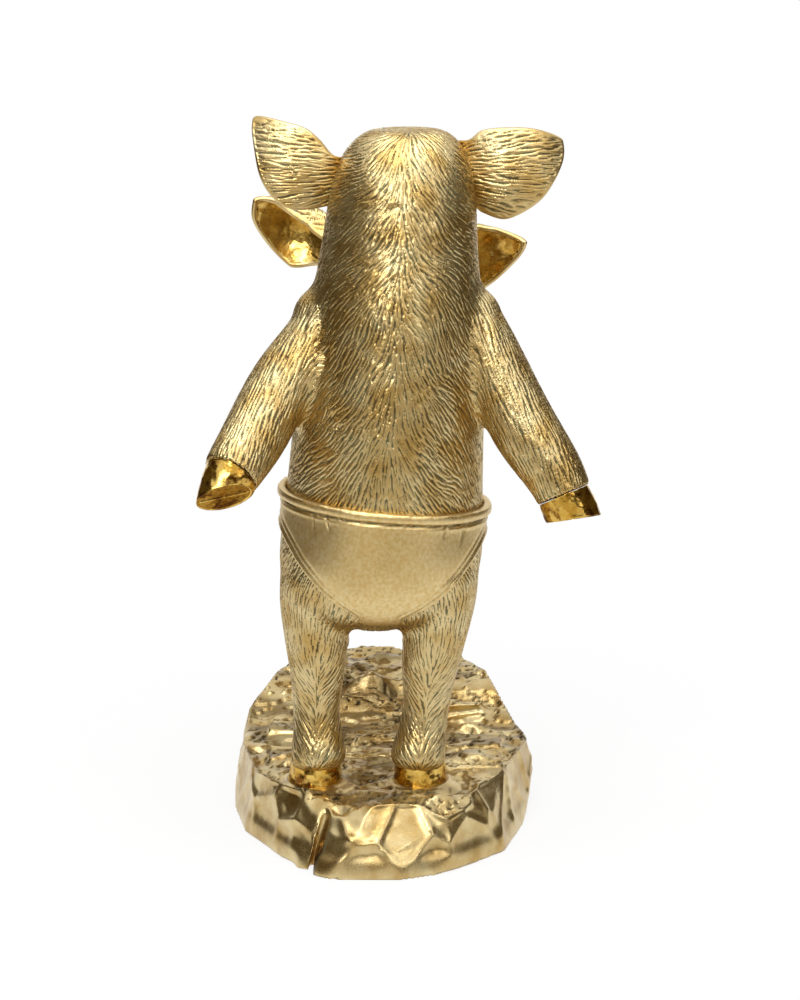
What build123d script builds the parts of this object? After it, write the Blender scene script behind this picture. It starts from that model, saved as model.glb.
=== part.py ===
from build123d import *

import os
from dataclasses import dataclass
from math import cos, hypot, radians, sin, tan

os.makedirs("parts", exist_ok=True)

# A cast resin ornament: two pigs stand snout to snout on a rough rock. The tall pig wears briefs and
# swings its arms back. The short pig looks up, wears the same briefs and rests its hands on the tall
# pig's chest. Lengths are in millimetres and angles in degrees.
# The origin is the centre of the felt's underside, +Z is up and +Y is the way the tall pig faces.
# A pig's own frame has its origin between the hind hooves, with +Y the way it faces and +X to its right.

# Rock base
base_half_width = 66.0
base_half_length = 114.0
rock_height = 28.5
ramp_start = 20.0
ramp_end = 62.0
felt_thickness = 1.5
felt_inset = 6.0
hoof_recess = 1.5
groove_place = 26.0
groove_width = 13.0
groove_depth = 21.0
peak_height = 7.5
peak_half_width = 21.0
peak_half_length = 17.0
peak_root = 5.0
slab_thickness = 2.2

# Where the tall pig stands, and how much smaller the short pig is
tall_stand_x = -7.0
tall_stand_y = -68.0
short_pig_share = 0.78

# The tall pig from its hooves to its crown
crown_height = 285.0
body_half_width = 42.5
body_half_depth = 43.0
skull_half_width = 30.5
skull_half_height = 30.0
face_length = 58.0
snout_disc_thickness = 3.5
eye_radius = 3.4
nostril_half_width = 2.2
nostril_half_height = 3.4
nostril_depth = 1.6
nostril_spread = 6.0
tall_stance_half_width = 23.0
short_stance_half_width = 29.5
leg_radius = 10.8
hind_hoof_height = 8.5
hind_hoof_flare = 1.0
arm_length = 90.0
arm_radius = 14.3
shoulder_radius = 15.5
fore_hoof_step = 0.7
cleft_width = 0.8
cleft_depth = 1.6

# Briefs, ears, and the steel rods that are cast into the legs
cloth_thickness = 1.8
waistband_thickness = 3.8
waistband_height = 3.8
waist_tilt = 5.1
ear_wall = 2.6
lining_thickness = 0.7
tall_ear_length = 42.0
short_ear_length = 44.0
rod_radius = 2.0
rod_into_rock = 12.0
rod_into_leg = 50.0
glue_gap = 0.1
overrun = 5.0

# Heights on a pig's body, as shares of its crown height
skull_height_share = 0.870
shoulder_height_share = 0.705
waist_height_share = 0.447
hip_height_share = 0.335
ear_height_share = 0.921

# Places on a pig's body, as shares of its half width or half depth
skull_forward_share = 0.20
shoulder_spread_share = 0.66
ear_spread_share = 0.95
ear_forward_share = 0.02

# Body sections: height, half width, half depth, and how far forward the section's centre lies
body_section_shares = [
    (0.252, 0.36, 0.32, 0.00),
    (0.270, 0.68, 0.60, -0.02),
    (0.300, 0.93, 0.80, -0.02),
    (0.347, 1.02, 0.89, 0.00),
    (0.428, 1.01, 0.95, 0.07),
    (0.509, 0.98, 1.00, 0.12),
    (0.596, 0.95, 0.98, 0.12),
    (0.670, 0.91, 0.91, 0.09),
    (0.744, 0.86, 0.84, 0.07),
    (0.821, 0.79, 0.77, 0.09),
    (0.895, 0.74, 0.73, 0.14),
    (0.950, 0.66, 0.65, 0.19),
    (0.986, 0.50, 0.49, 0.21),
    (1.000, 0.27, 0.26, 0.21),
]

# Face sections from the skull's centre to the snout disc: run, half width, half height
face_section_shares = [
    (-0.20, 0.82, 0.82),
    (0.12, 0.98, 0.96),
    (0.35, 0.95, 0.90),
    (0.55, 0.81, 0.78),
    (0.72, 0.64, 0.63),
    (0.87, 0.53, 0.50),
    (1.00, 0.50, 0.46),
]
snout_disc_shares = (0.56, 0.51)
eye_run_share = 0.42
eye_bearing = 30

# Leg sections: height up to the hip, reach out from the stance, place forward, half width, half depth
leg_section_shares = [
    (0.00, 0.00, 0.10, 0.98, 1.05),
    (0.22, 0.01, 0.00, 0.97, 1.00),
    (0.42, 0.05, -0.15, 1.03, 1.06),
    (0.58, 0.08, -0.35, 1.20, 1.30),
    (0.72, 0.13, -0.15, 1.34, 1.70),
    (0.88, 0.06, 0.00, 1.72, 2.35),
    (1.10, -0.06, 0.05, 1.62, 2.50),
]

# Arm sections: place from the shoulder as shares of the arm's length, then the radius
tall_left_arm_shares = [
    (0.000, 0.000, 0.050, 1.03),
    (-0.150, -0.089, -0.170, 1.04),
    (-0.268, -0.178, -0.332, 1.00),
    (-0.345, -0.278, -0.466, 0.97),
    (-0.417, -0.378, -0.573, 0.90),
    (-0.448, -0.422, -0.620, 0.86),
]
tall_right_arm_shares = [
    (0.025, 0.000, 0.050, 1.03),
    (0.140, -0.056, -0.155, 1.04),
    (0.250, -0.111, -0.360, 1.02),
    (0.360, -0.167, -0.538, 0.98),
    (0.456, -0.211, -0.682, 0.88),
    (0.486, -0.228, -0.752, 0.84),
]
short_left_arm_shares = [
    (0.00, 0.04, 0.00, 0.96),
    (-0.06, 0.24, -0.06, 0.96),
    (-0.07, 0.45, -0.10, 0.92),
    (-0.03, 0.64, -0.09, 0.86),
    (0.04, 0.80, -0.04, 0.80),
    (0.08, 0.89, 0.00, 0.77),
]
short_right_arm_shares = [
    (0.00, 0.04, 0.00, 0.96),
    (0.05, 0.24, -0.12, 0.96),
    (0.06, 0.45, -0.19, 0.92),
    (0.02, 0.64, -0.19, 0.86),
    (-0.07, 0.81, -0.14, 0.80),
    (-0.11, 0.91, -0.10, 0.77),
]

# Soles of the fore hooves: place from the shoulder, the way the sole faces, half length and half width
tall_left_sole_shares = ((-0.474, -0.489, -0.713), (0.245, -0.65, -0.72), (0.87, 0.68))
tall_right_sole_shares = ((0.534, -0.244, -0.867), (0.147, -0.20, -0.967), (0.84, 0.66))
short_left_sole_shares = ((0.11, 1.08, 0.05), (0.16, 0.97, 0.10), (0.78, 0.64))
short_right_sole_shares = ((-0.16, 1.10, -0.03), (-0.20, 0.97, 0.08), (0.78, 0.64))

# Ear outlines seen from the front or back, from the root out, as shares of the ear's length: out and up
pointed_ear_shares = [
    (-0.200, 0.200),
    (0.030, 0.260),
    (0.170, 0.410),
    (0.300, 0.515),
    (0.500, 0.580),
    (0.770, 0.630),
    (0.820, 0.540),
    (0.790, 0.330),
    (0.730, 0.080),
    (0.630, -0.100),
    (0.500, -0.210),
    (0.350, -0.245),
    (0.100, -0.220),
    (-0.200, -0.170),
]
broad_ear_shares = [
    (-0.200, 0.330),
    (0.000, 0.410),
    (0.130, 0.500),
    (0.380, 0.525),
    (0.630, 0.510),
    (0.855, 0.436),
    (0.905, 0.364),
    (0.895, 0.210),
    (0.805, 0.020),
    (0.680, -0.150),
    (0.500, -0.280),
    (0.330, -0.345),
    (0.130, -0.285),
    (0.040, -0.230),
    (-0.200, -0.180),
]
drooping_ear_shares = [
    (-0.200, 0.220),
    (0.086, 0.332),
    (0.286, 0.416),
    (0.622, 0.441),
    (0.807, 0.416),
    (0.840, 0.360),
    (0.817, 0.178),
    (0.669, -0.010),
    (0.441, -0.198),
    (0.338, -0.227),
    (0.125, -0.174),
    (-0.200, -0.120),
]
level_ear_shares = [
    (-0.200, 0.250),
    (0.110, 0.380),
    (0.466, 0.443),
    (0.659, 0.428),
    (0.905, 0.387),
    (0.950, 0.318),
    (0.868, 0.134),
    (0.641, -0.139),
    (0.400, -0.300),
    (0.120, -0.280),
    (-0.200, -0.180),
]
ear_middle_shares = (0.42, 0.10)
ear_cup_share = 0.85
lining_share = 0.78

# The leg line of the briefs from the side seam to the gusset, as shares of half width and crown height
leg_line_shares = [
    (1.10, 0.412),
    (1.02, 0.395),
    (0.84, 0.360),
    (0.62, 0.325),
    (0.42, 0.302),
    (0.26, 0.286),
    (0.20, 0.266),
    (0.18, 0.245),
]

# Chops that shape the rock: bearing, tilt from upright, reach and height, the last two as shares
side_chop_shares = [
    (-92, 8, 1.00, 0.40),
    (-66, 13, 0.99, 0.40),
    (-40, 8, 1.00, 0.45),
    (-14, 12, 0.98, 0.50),
    (12, 15, 1.01, 0.45),
    (35, 6, 1.12, 0.50),
    (58, 12, 1.15, 0.45),
    (86, 10, 1.00, 0.50),
    (112, 8, 1.08, 0.45),
    (136, 13, 1.16, 0.50),
    (160, 8, 1.10, 0.45),
    (180, 13, 1.03, 0.50),
    (190, 9, 1.00, 0.40),
    (206, 7, 0.98, 0.40),
    (229, 11, 0.99, 0.35),
    (250, 13, 1.03, 0.35),
]
shoulder_chop_shares = [
    (-104, 47, 0.93, 0.92),
    (-79, 38, 0.91, 0.86),
    (-53, 55, 0.92, 0.90),
    (-27, 42, 0.93, 0.92),
    (-2, 50, 0.99, 1.00),
    (23, 38, 1.06, 1.05),
    (47, 52, 1.10, 1.10),
    (72, 36, 1.04, 1.10),
    (99, 46, 1.00, 1.15),
    (123, 40, 1.10, 1.10),
    (148, 52, 1.14, 1.05),
    (172, 38, 1.05, 1.00),
    (196, 48, 0.97, 0.95),
    (218, 33, 0.93, 0.90),
    (240, 50, 0.90, 0.88),
]
corner_chop_shares = [
    (-116, -14, 1.06, 0.10),
    (-84, -12, 1.02, 0.12),
    (-48, -16, 1.02, 0.12),
    (-5, -18, 1.02, 0.15),
    (70, -14, 1.12, 0.12),
    (125, -15, 1.15, 0.12),
    (175, -18, 1.02, 0.15),
    (220, -14, 1.01, 0.12),
]
peak_place_shares = (-0.12, 0.40)
peak_top_shares = (0.25, 0.18)

# Slabs of strata on the rock's top: middle, half length, half width, and turn in degrees
slab_shares = [
    (0.55, -0.36, 0.26, 0.10, 8),
    (0.60, -0.10, 0.22, 0.08, -6),
    (-0.62, -0.26, 0.18, 0.07, 12),
    (-0.58, 0.10, 0.22, 0.09, -4),
    (0.46, 0.30, 0.22, 0.08, 14),
    (-0.10, -0.26, 0.22, 0.06, -10),
    (0.06, -0.02, 0.26, 0.06, 4),
]

side_signs = {"left": -1, "right": 1}


@dataclass
class Pig:
    """What sets one pig apart from the tall pig's sizes, and where it stands."""

    name: str
    scale: float
    sway: float
    lean: float
    stance: float
    face_tilt: float
    face_turn: float
    ear_length: float
    ear_roll: float
    ears: dict
    arms: dict
    soles: dict
    place: Location = None

    def spine(self, height_share):
        """The body's middle line, in the pig's own frame."""
        x, y, z = self.sway * height_share, self.lean * height_share, crown_height * height_share
        return Vector(x, y, z) * self.scale

    def skull(self):
        """The middle of the skull, from which the face runs."""
        forward = self.scale * body_half_depth * skull_forward_share
        return self.spine(skull_height_share) + Vector(0, forward, 0)

    def gaze(self):
        """The way the face points."""
        tilt, turn = radians(self.face_tilt), radians(self.face_turn)
        return Vector(sin(turn) * cos(tilt), cos(turn) * cos(tilt), sin(tilt))

    def on_face(self, run):
        """A plane square to the face, a run ahead of the skull, with Y up the forehead."""
        x_dir = self.gaze().cross(Vector(0, 0, 1)).normalized()
        return Plane(origin=self.skull() + self.gaze() * run, x_dir=x_dir, z_dir=self.gaze())

    def on_arm(self, side, shares):
        """A point at shares of the arm's length from the shoulder."""
        spread = side_signs[side] * self.scale * body_half_width * shoulder_spread_share
        shoulder = self.spine(shoulder_height_share) + Vector(spread, 0, 0)
        return shoulder + Vector(*shares[:3]) * (self.scale * arm_length)


tall_pig = Pig(
    name="tall_pig",
    scale=1.0,
    sway=17.5,
    lean=4.0,
    stance=tall_stance_half_width,
    face_tilt=-22.8,
    face_turn=-6.0,
    ear_length=tall_ear_length,
    ear_roll=0.0,
    ears={"left": pointed_ear_shares, "right": broad_ear_shares},
    arms={"left": tall_left_arm_shares, "right": tall_right_arm_shares},
    soles={"left": tall_left_sole_shares, "right": tall_right_sole_shares},
)
short_pig = Pig(
    name="short_pig",
    scale=short_pig_share,
    sway=-3.5,
    lean=50.0,
    stance=short_stance_half_width,
    face_tilt=22.8,
    face_turn=-6.0,
    ear_length=short_ear_length,
    ear_roll=8.0,
    ears={"left": level_ear_shares, "right": drooping_ear_shares},
    arms={"left": short_left_arm_shares, "right": short_right_arm_shares},
    soles={"left": short_left_sole_shares, "right": short_right_sole_shares},
)

# The tall pig stands on the rock, and the short pig stands where the two snouts meet
ledge_height = felt_thickness + rock_height
tall_pig.place = Location((tall_stand_x, tall_stand_y, ledge_height - hoof_recess))
meeting = tall_pig.place.position + tall_pig.on_face(tall_pig.scale * face_length).origin
short_snout = short_pig.on_face(short_pig.scale * face_length).origin
short_stand = Vector(meeting.X + short_snout.X, meeting.Y + short_snout.Y, meeting.Z - short_snout.Z)
short_pig.place = Location(short_stand, (0, 0, 180))
high_ledge = short_stand.Z + hoof_recess


def lofted(stations):
    """A smooth solid through ellipses, each given as plane, half width and half depth."""
    with BuildPart() as solid:
        for plane, half_width, half_depth in stations:
            with BuildSketch(plane):
                Ellipse(half_width, half_depth)
        loft()
    return solid.part


def joined(first, *others, mode=Mode.ADD):
    """The first solid with the others added, subtracted or intersected."""
    with BuildPart() as piece:
        add(first)
        for other in others:
            add(other, mode=mode)
    return piece.part


def body(pig, proud=0.0):
    """The trunk and head without the face, grown outward by a cloth's thickness."""
    stations = []
    for up, wide, deep, forward in body_section_shares:
        lower = proud if not stations else 0
        centre = pig.spine(up) + Vector(0, pig.scale * body_half_depth * forward, -lower)
        half_width = pig.scale * body_half_width * wide + proud
        half_depth = pig.scale * body_half_depth * deep + proud
        stations.append((Plane(origin=centre), half_width, half_depth))
    return lofted(stations)


def face(pig):
    """The muzzle from inside the skull to the back of the snout disc."""
    muzzle = pig.scale * (face_length - snout_disc_thickness)
    stations = []
    for run, wide, high in face_section_shares:
        half_width = pig.scale * skull_half_width * wide
        half_height = pig.scale * skull_half_height * high
        stations.append((pig.on_face(muzzle * run), half_width, half_height))
    return lofted(stations)


def eyes(pig):
    """Two domes on the cheeks, beside the bridge of the snout."""
    plane = pig.on_face(pig.scale * face_length * eye_run_share)
    across = pig.scale * skull_half_width * cos(radians(eye_bearing))
    up = pig.scale * skull_half_height * sin(radians(eye_bearing))
    with BuildPart() as pair:
        for side in side_signs.values():
            with Locations(plane.location * Location((side * across, up, 0))):
                Sphere(pig.scale * eye_radius)
    return pair.part


def snout_disc(pig):
    """The flat end of the snout, with two nostrils sunk in its front."""
    back = pig.on_face(pig.scale * (face_length - snout_disc_thickness))
    front = pig.on_face(pig.scale * face_length)
    half_width, half_height = (
        pig.scale * size * share
        for size, share in zip((skull_half_width, skull_half_height), snout_disc_shares)
    )
    with BuildPart() as disc:
        with BuildSketch(back):
            Ellipse(half_width, half_height)
        extrude(amount=pig.scale * snout_disc_thickness)
        with BuildSketch(front):
            with GridLocations(pig.scale * nostril_spread * 2, 0, 2, 1):
                Ellipse(pig.scale * nostril_half_width, pig.scale * nostril_half_height)
        extrude(amount=-pig.scale * nostril_depth, mode=Mode.SUBTRACT)
    return disc.part


def leg_stations(pig, side, proud=0.0):
    """A hind leg's level sections from its hoof to the hip, grown outward by a cloth's thickness."""
    stations = []
    hoof_share = hind_hoof_height / crown_height
    for up, out, forward, wide, deep in leg_section_shares:
        height_share = hoof_share + (hip_height_share - hoof_share) * up
        across = side_signs[side] * pig.stance * (1 + out)
        ahead = leg_radius * forward
        centre = pig.spine(height_share) + Vector(across, ahead, 0) * pig.scale
        half_width = pig.scale * leg_radius * wide + proud
        half_depth = pig.scale * leg_radius * deep + proud
        stations.append((Plane(origin=centre), half_width, half_depth))
    return stations


def hind_hoof(pig, side, cloven):
    """A hoof a little wider than the leg, with its cleft in front."""
    top, half_width, half_depth = leg_stations(pig, side)[0]
    flare = pig.scale * hind_hoof_flare
    bottom = Plane(origin=(top.origin.X, top.origin.Y + flare, 0))
    toe = Plane(origin=(top.origin.X, top.origin.Y + half_depth + flare * 3, 0))
    with BuildPart() as hoof:
        with BuildSketch(bottom):
            Ellipse(half_width + flare, half_depth + flare * 2)
        with BuildSketch(top):
            Ellipse(half_width + flare / 2, half_depth + flare / 2)
        loft()
        if cloven:
            with BuildSketch(toe):
                Rectangle(pig.scale * cleft_width, pig.scale * cleft_depth * 4)
            extrude(amount=pig.scale * hind_hoof_height, mode=Mode.SUBTRACT)
    return hoof.part


def arm_stations(pig, side):
    """An arm's sections, each square to the arm's path, from the shoulder to the wrist."""
    rows = pig.arms[side]
    points = [pig.on_arm(side, row) for row in rows]
    stations = []
    for i, row in enumerate(rows):
        along = (points[min(i + 1, len(rows) - 1)] - points[max(i - 1, 0)]).normalized()
        across = Vector(1, 0, 0)
        x_dir = (across - along * across.dot(along)).normalized()
        radius = pig.scale * arm_radius * row[3]
        stations.append((Plane(origin=points[i], x_dir=x_dir, z_dir=along), radius, radius))
    return stations


def arm(pig, side):
    """An arm with its round shoulder."""
    stations = arm_stations(pig, side)
    with BuildPart() as limb:
        add(lofted(stations))
        with Locations(stations[0][0].origin):
            Sphere(pig.scale * shoulder_radius)
    return limb.part


def fore_hoof(pig, side):
    """A hoof from the wrist to its flat sole, with the cleft cut along the sole."""
    wrist, wrist_radius, _ = arm_stations(pig, side)[-1]
    place, facing, size_shares = pig.soles[side]
    z_dir = Vector(*facing).normalized()
    across = Vector(1, 0, 0)
    x_dir = (across - z_dir * across.dot(z_dir)).normalized()
    sole = Plane(origin=pig.on_arm(side, place), x_dir=x_dir, z_dir=z_dir)
    hoof_radius = wrist_radius - pig.scale * fore_hoof_step
    half_length, half_width = (pig.scale * arm_radius * share for share in size_shares)
    with BuildPart() as hoof:
        with BuildSketch(wrist):
            Ellipse(hoof_radius, hoof_radius)
        with BuildSketch(sole):
            Ellipse(half_length, half_width)
        loft()
        with BuildSketch(sole):
            Rectangle(half_length * 2, pig.scale * cleft_width)
        extrude(amount=-pig.scale * cleft_depth, mode=Mode.SUBTRACT)
    return hoof.part


def ear_slice(pig, side, outline_share, outer_radius, inner_radius):
    """The part of a hollow ball that lies inside an ear's outline, cupped forward."""
    roll = radians(pig.ear_roll)
    forward = Vector(0, pig.scale * body_half_depth * ear_forward_share, 0)
    middle = pig.spine(ear_height_share) + forward
    plane = Plane(origin=middle, x_dir=(cos(roll), 0, sin(roll)), z_dir=(0, -1, 0))
    root = pig.scale * skull_half_width * ear_spread_share
    out, up = ear_middle_shares
    sign = side_signs[side]
    points = []
    for x, y in pig.ears[side]:
        wide = root + pig.ear_length * (out + (x - out) * outline_share)
        points.append((sign * wide, pig.ear_length * (up + (y - up) * outline_share)))
    cup_radius = pig.ear_length * ear_cup_share
    centre = (sign * (root + pig.ear_length * out), pig.ear_length * up, -cup_radius)
    with BuildPart() as ear:
        with BuildSketch(plane):
            with BuildLine():
                Spline(*points, periodic=True)
            make_face()
        extrude(amount=cup_radius, both=True)
        with Locations(plane.location * Location(centre)):
            Sphere(outer_radius, mode=Mode.INTERSECT)
            Sphere(inner_radius, mode=Mode.SUBTRACT)
    return ear.part


def briefs_region(pig):
    """Everything between the leg lines and below the waistband's middle, slanted as the waistband is."""
    middle = pig.spine(hip_height_share).X
    waist = pig.scale * crown_height * waist_height_share
    side_out = pig.scale * (body_half_width + pig.stance)
    edge = [(side_out, waist), (side_out, pig.scale * crown_height * leg_line_shares[0][1])]
    for out, up in leg_line_shares:
        edge.append((pig.scale * body_half_width * out, pig.scale * crown_height * up))
    outline = []
    for across, height in edge + [(-x, z) for x, z in reversed(edge)]:
        outline.append((middle + across, height - across * tan(radians(waist_tilt))))
    with BuildPart() as region:
        with BuildSketch(Plane.XZ):
            Polygon(*outline, align=None)
        extrude(amount=pig.scale * crown_height, both=True)
    return region.part


def waist_slice(pig):
    """A thick tilted plate at the waist, as high as the waistband."""
    plane = Plane(origin=pig.spine(waist_height_share)).rotated((0, waist_tilt, 0))
    with BuildPart() as slice_part:
        with BuildSketch(plane):
            Circle(pig.scale * (body_half_width + body_half_depth) * 2)
        extrude(amount=pig.scale * waistband_height / 2, both=True)
    return slice_part.part


def briefs(pig, trunk, legs):
    """The cloth over the hips and thighs with its rolled waistband, hollow where the pig is."""
    cloth = joined(body(pig, pig.scale * cloth_thickness))
    for side in side_signs:
        cloth = joined(cloth, lofted(leg_stations(pig, side, pig.scale * cloth_thickness)))
    cloth = joined(cloth, briefs_region(pig), mode=Mode.INTERSECT)
    band = joined(body(pig, pig.scale * waistband_thickness), waist_slice(pig), mode=Mode.INTERSECT)
    return joined(joined(cloth, band), trunk, *legs, mode=Mode.SUBTRACT)


def leg_rod(pig, side, radius):
    """A steel rod from the rock up through the hoof into the leg."""
    foot = leg_stations(pig, side)[0][0].origin
    low, high = -rod_into_rock, pig.scale * rod_into_leg
    with BuildPart() as rod:
        with BuildSketch(Plane(origin=(foot.X, foot.Y, low))):
            Circle(radius)
        extrude(amount=high - low)
    return rod.part


def pig_pieces(pig):
    """Every casting of one pig by name, in the pig's own frame, each cut to meet its neighbours."""
    trunk = joined(body(pig), face(pig), eyes(pig))
    full_legs = {side: lofted(leg_stations(pig, side)) for side in side_signs}
    pieces = {
        "torso": trunk,
        "snout_disc": snout_disc(pig),
        "briefs": briefs(pig, trunk, list(full_legs.values())),
    }
    for side in side_signs:
        bore = leg_rod(pig, side, rod_radius + glue_gap)
        pieces[f"{side}_leg"] = joined(full_legs[side], trunk, bore, mode=Mode.SUBTRACT)
        pieces[f"{side}_hind_hoof"] = joined(hind_hoof(pig, side, True), bore, mode=Mode.SUBTRACT)
        pieces[f"{side}_leg_rod"] = leg_rod(pig, side, rod_radius)
        pieces[f"{side}_arm"] = joined(arm(pig, side), trunk, mode=Mode.SUBTRACT)
        pieces[f"{side}_fore_hoof"] = fore_hoof(pig, side)
        cup_radius = pig.ear_length * ear_cup_share
        inner_radius = cup_radius - ear_wall
        shell = ear_slice(pig, side, 1, cup_radius, inner_radius)
        lining_radius = inner_radius - glue_gap
        lining = ear_slice(pig, side, lining_share, lining_radius, lining_radius - lining_thickness)
        pieces[f"{side}_ear"] = joined(shell, trunk, mode=Mode.SUBTRACT)
        pieces[f"{side}_ear_lining"] = joined(lining, trunk, mode=Mode.SUBTRACT)
    return pieces


def chop_planes(rows):
    """Upright or tilted planes round the rock, each facing out at its bearing."""
    planes = []
    for bearing, tilt, reach_share, height_share in rows:
        across, along = cos(radians(bearing)), sin(radians(bearing))
        reach = reach_share * hypot(base_half_width * across, base_half_length * along)
        origin = (reach * across, reach * along, felt_thickness + rock_height * height_share)
        flat = cos(radians(tilt))
        planes.append(Plane(origin=origin, z_dir=(across * flat, along * flat, sin(radians(tilt)))))
    return planes


def top_height(y):
    """How high the rock's top lies at a distance along the base."""
    up = min(max((y - ramp_start) / (ramp_end - ramp_start), 0), 1)
    return ledge_height + (high_ledge - ledge_height) * up


def rock(hoof_blanks, rods):
    """The rock: a stepped block chopped to facets, with slabs, a small peak and hoof pockets."""
    profile = [
        (-base_half_length - overrun, felt_thickness),
        (base_half_length + overrun, felt_thickness),
        (base_half_length + overrun, high_ledge),
        (ramp_end, high_ledge),
        (ramp_start, ledge_height),
        (-base_half_length - overrun, ledge_height),
    ]
    peak_x = base_half_width * peak_place_shares[0]
    peak_y = base_half_length * peak_place_shares[1]
    peak_foot = Plane(origin=(peak_x, peak_y, top_height(peak_y) - peak_root))
    peak_top = Plane(origin=(peak_x, peak_y, top_height(peak_y) + peak_height))
    with BuildPart() as base:
        with BuildSketch(Plane.YZ):
            Polygon(*profile, align=None)
        extrude(amount=base_half_width + overrun, both=True)
        for out, along, half_length, half_width, turn in slab_shares:
            x, y = base_half_width * out, base_half_length * along
            with BuildSketch(Plane(origin=(x, y, felt_thickness)).rotated((0, 0, turn))):
                Rectangle(base_half_width * half_length * 2, base_half_length * half_width * 2)
            extrude(amount=top_height(y) + slab_thickness - felt_thickness)
        with BuildSketch(peak_foot):
            Rectangle(peak_half_width * 2, peak_half_length * 2)
        with BuildSketch(peak_top):
            Rectangle(peak_half_width * peak_top_shares[0], peak_half_length * peak_top_shares[1])
        loft()
        for plane in chop_planes(side_chop_shares + shoulder_chop_shares + corner_chop_shares):
            split(bisect_by=plane, keep=Keep.BOTTOM)
        with BuildSketch(Plane(origin=(-groove_place, -base_half_length, felt_thickness))):
            Polygon(
                (-groove_width / 2, -overrun),
                (groove_width / 2, -overrun),
                (0, groove_depth),
                align=None,
            )
        extrude(amount=rock_height, mode=Mode.SUBTRACT)
        for solid in hoof_blanks + rods:
            add(solid, mode=Mode.SUBTRACT)
    return base.part


def felt(rock_part):
    """A sheet of felt under the rock, set in from the rock's edge."""
    underside = rock_part.faces().sort_by(Axis.Z)[0].outer_wire()
    with BuildPart() as sheet:
        with BuildSketch(Plane.XY):
            with BuildLine():
                add(underside.moved(Location((0, 0, -felt_thickness))))
                offset(amount=-felt_inset, kind=Kind.INTERSECTION, mode=Mode.REPLACE)
            make_face()
        extrude(amount=felt_thickness)
    return sheet.part


placed = {}
hoof_blanks, rod_bores = [], []
for pig in (tall_pig, short_pig):
    for name, piece in pig_pieces(pig).items():
        placed[f"{pig.name}_{name}"] = piece.moved(pig.place)
    for side in side_signs:
        hoof_blanks.append(hind_hoof(pig, side, False).moved(pig.place))
        rod_bores.append(leg_rod(pig, side, rod_radius + glue_gap).moved(pig.place))

# The short pig's hands are cut to the tall pig's chest, which they rest on
for side in side_signs:
    name = f"{short_pig.name}_{side}_fore_hoof"
    placed[name] = joined(placed[name], placed["tall_pig_torso"], mode=Mode.SUBTRACT)

placed["rock_base"] = rock(hoof_blanks, rod_bores)
placed["felt_sheet"] = felt(placed["rock_base"])

for name, piece in placed.items():
    piece.label = name
    export_step(piece, f"parts/{name}.step")
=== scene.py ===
import math

import bpy
import numpy as np
from bpy.props import FloatProperty, FloatVectorProperty, PointerProperty
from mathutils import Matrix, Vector


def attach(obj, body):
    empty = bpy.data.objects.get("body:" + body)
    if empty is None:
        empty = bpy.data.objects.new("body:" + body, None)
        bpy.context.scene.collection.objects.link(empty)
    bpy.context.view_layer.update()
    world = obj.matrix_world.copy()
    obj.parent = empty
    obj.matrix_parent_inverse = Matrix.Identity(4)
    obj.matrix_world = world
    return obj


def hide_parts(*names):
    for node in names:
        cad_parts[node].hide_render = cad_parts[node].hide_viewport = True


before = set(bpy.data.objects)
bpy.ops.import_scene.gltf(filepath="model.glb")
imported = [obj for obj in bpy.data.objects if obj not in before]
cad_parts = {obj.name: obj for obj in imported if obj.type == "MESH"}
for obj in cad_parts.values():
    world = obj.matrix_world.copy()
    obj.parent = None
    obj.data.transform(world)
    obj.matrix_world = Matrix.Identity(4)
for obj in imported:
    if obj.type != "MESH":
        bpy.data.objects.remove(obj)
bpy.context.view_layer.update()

bl_info = {
    "name": "Gilded pig pair",
    "version": (1, 0, 0),
    "blender": (4, 5, 0),
    "location": "3D Viewport > Sidebar > Pig pair",
    "description": "Dresses the packed model of two cast resin pigs on a rock in fur, cloth and gilding",
    "category": "Object",
}

# The frame is in metres. Sizes in this file are in millimetres.
MM = 0.001


def srgb(text):
    """A hexadecimal screen colour as linear red, green, blue and alpha."""
    levels = [int(text[i : i + 2], 16) / 255 for i in (1, 3, 5)]
    return tuple(x / 12.92 if x <= 0.04045 else ((x + 0.055) / 1.055) ** 2.4 for x in levels) + (1.0,)


def colour(name, description, text):
    """A colour setting with its default as a hexadecimal screen colour."""
    return FloatVectorProperty(
        name=name, description=description, default=srgb(text), size=4, min=0.0, max=1.0, subtype="COLOR"
    )


def extent(name, description, default):
    """A setting for a height or a depth in millimetres."""
    return FloatProperty(name=name, description=description, default=default, min=0.0)


# Settings
class PIGPAIR_PG_skin(bpy.types.PropertyGroup):
    """How finely the pigs' skins are rebuilt and how deep their fur is modelled."""

    tall_grain: FloatProperty(
        name="Tall pig grain",
        description="Cell size, in millimetres, at which the tall pig's castings are rebuilt as one skin",
        default=0.96,
        min=0.6,
        unit="NONE",
    )
    short_grain: FloatProperty(
        name="Short pig grain",
        description="Cell size, in millimetres, at which the short pig's castings are rebuilt as one skin",
        default=1.45,
        min=0.6,
        unit="NONE",
    )
    fur_depth: FloatProperty(
        name="Fur depth",
        description="Depth, in millimetres, of the grooves between the modelled locks of hair",
        default=0.42,
        min=0.0,
        unit="NONE",
    )
    fur_width: FloatProperty(
        name="Lock width",
        description="Half the spacing, in millimetres, between one groove of the fur and the next",
        default=0.47,
        min=0.2,
        unit="NONE",
    )
    fur_length: FloatProperty(
        name="Lock length",
        description="Length, in millimetres, of one lock of hair",
        default=8.0,
        min=1.0,
        unit="NONE",
    )


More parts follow.
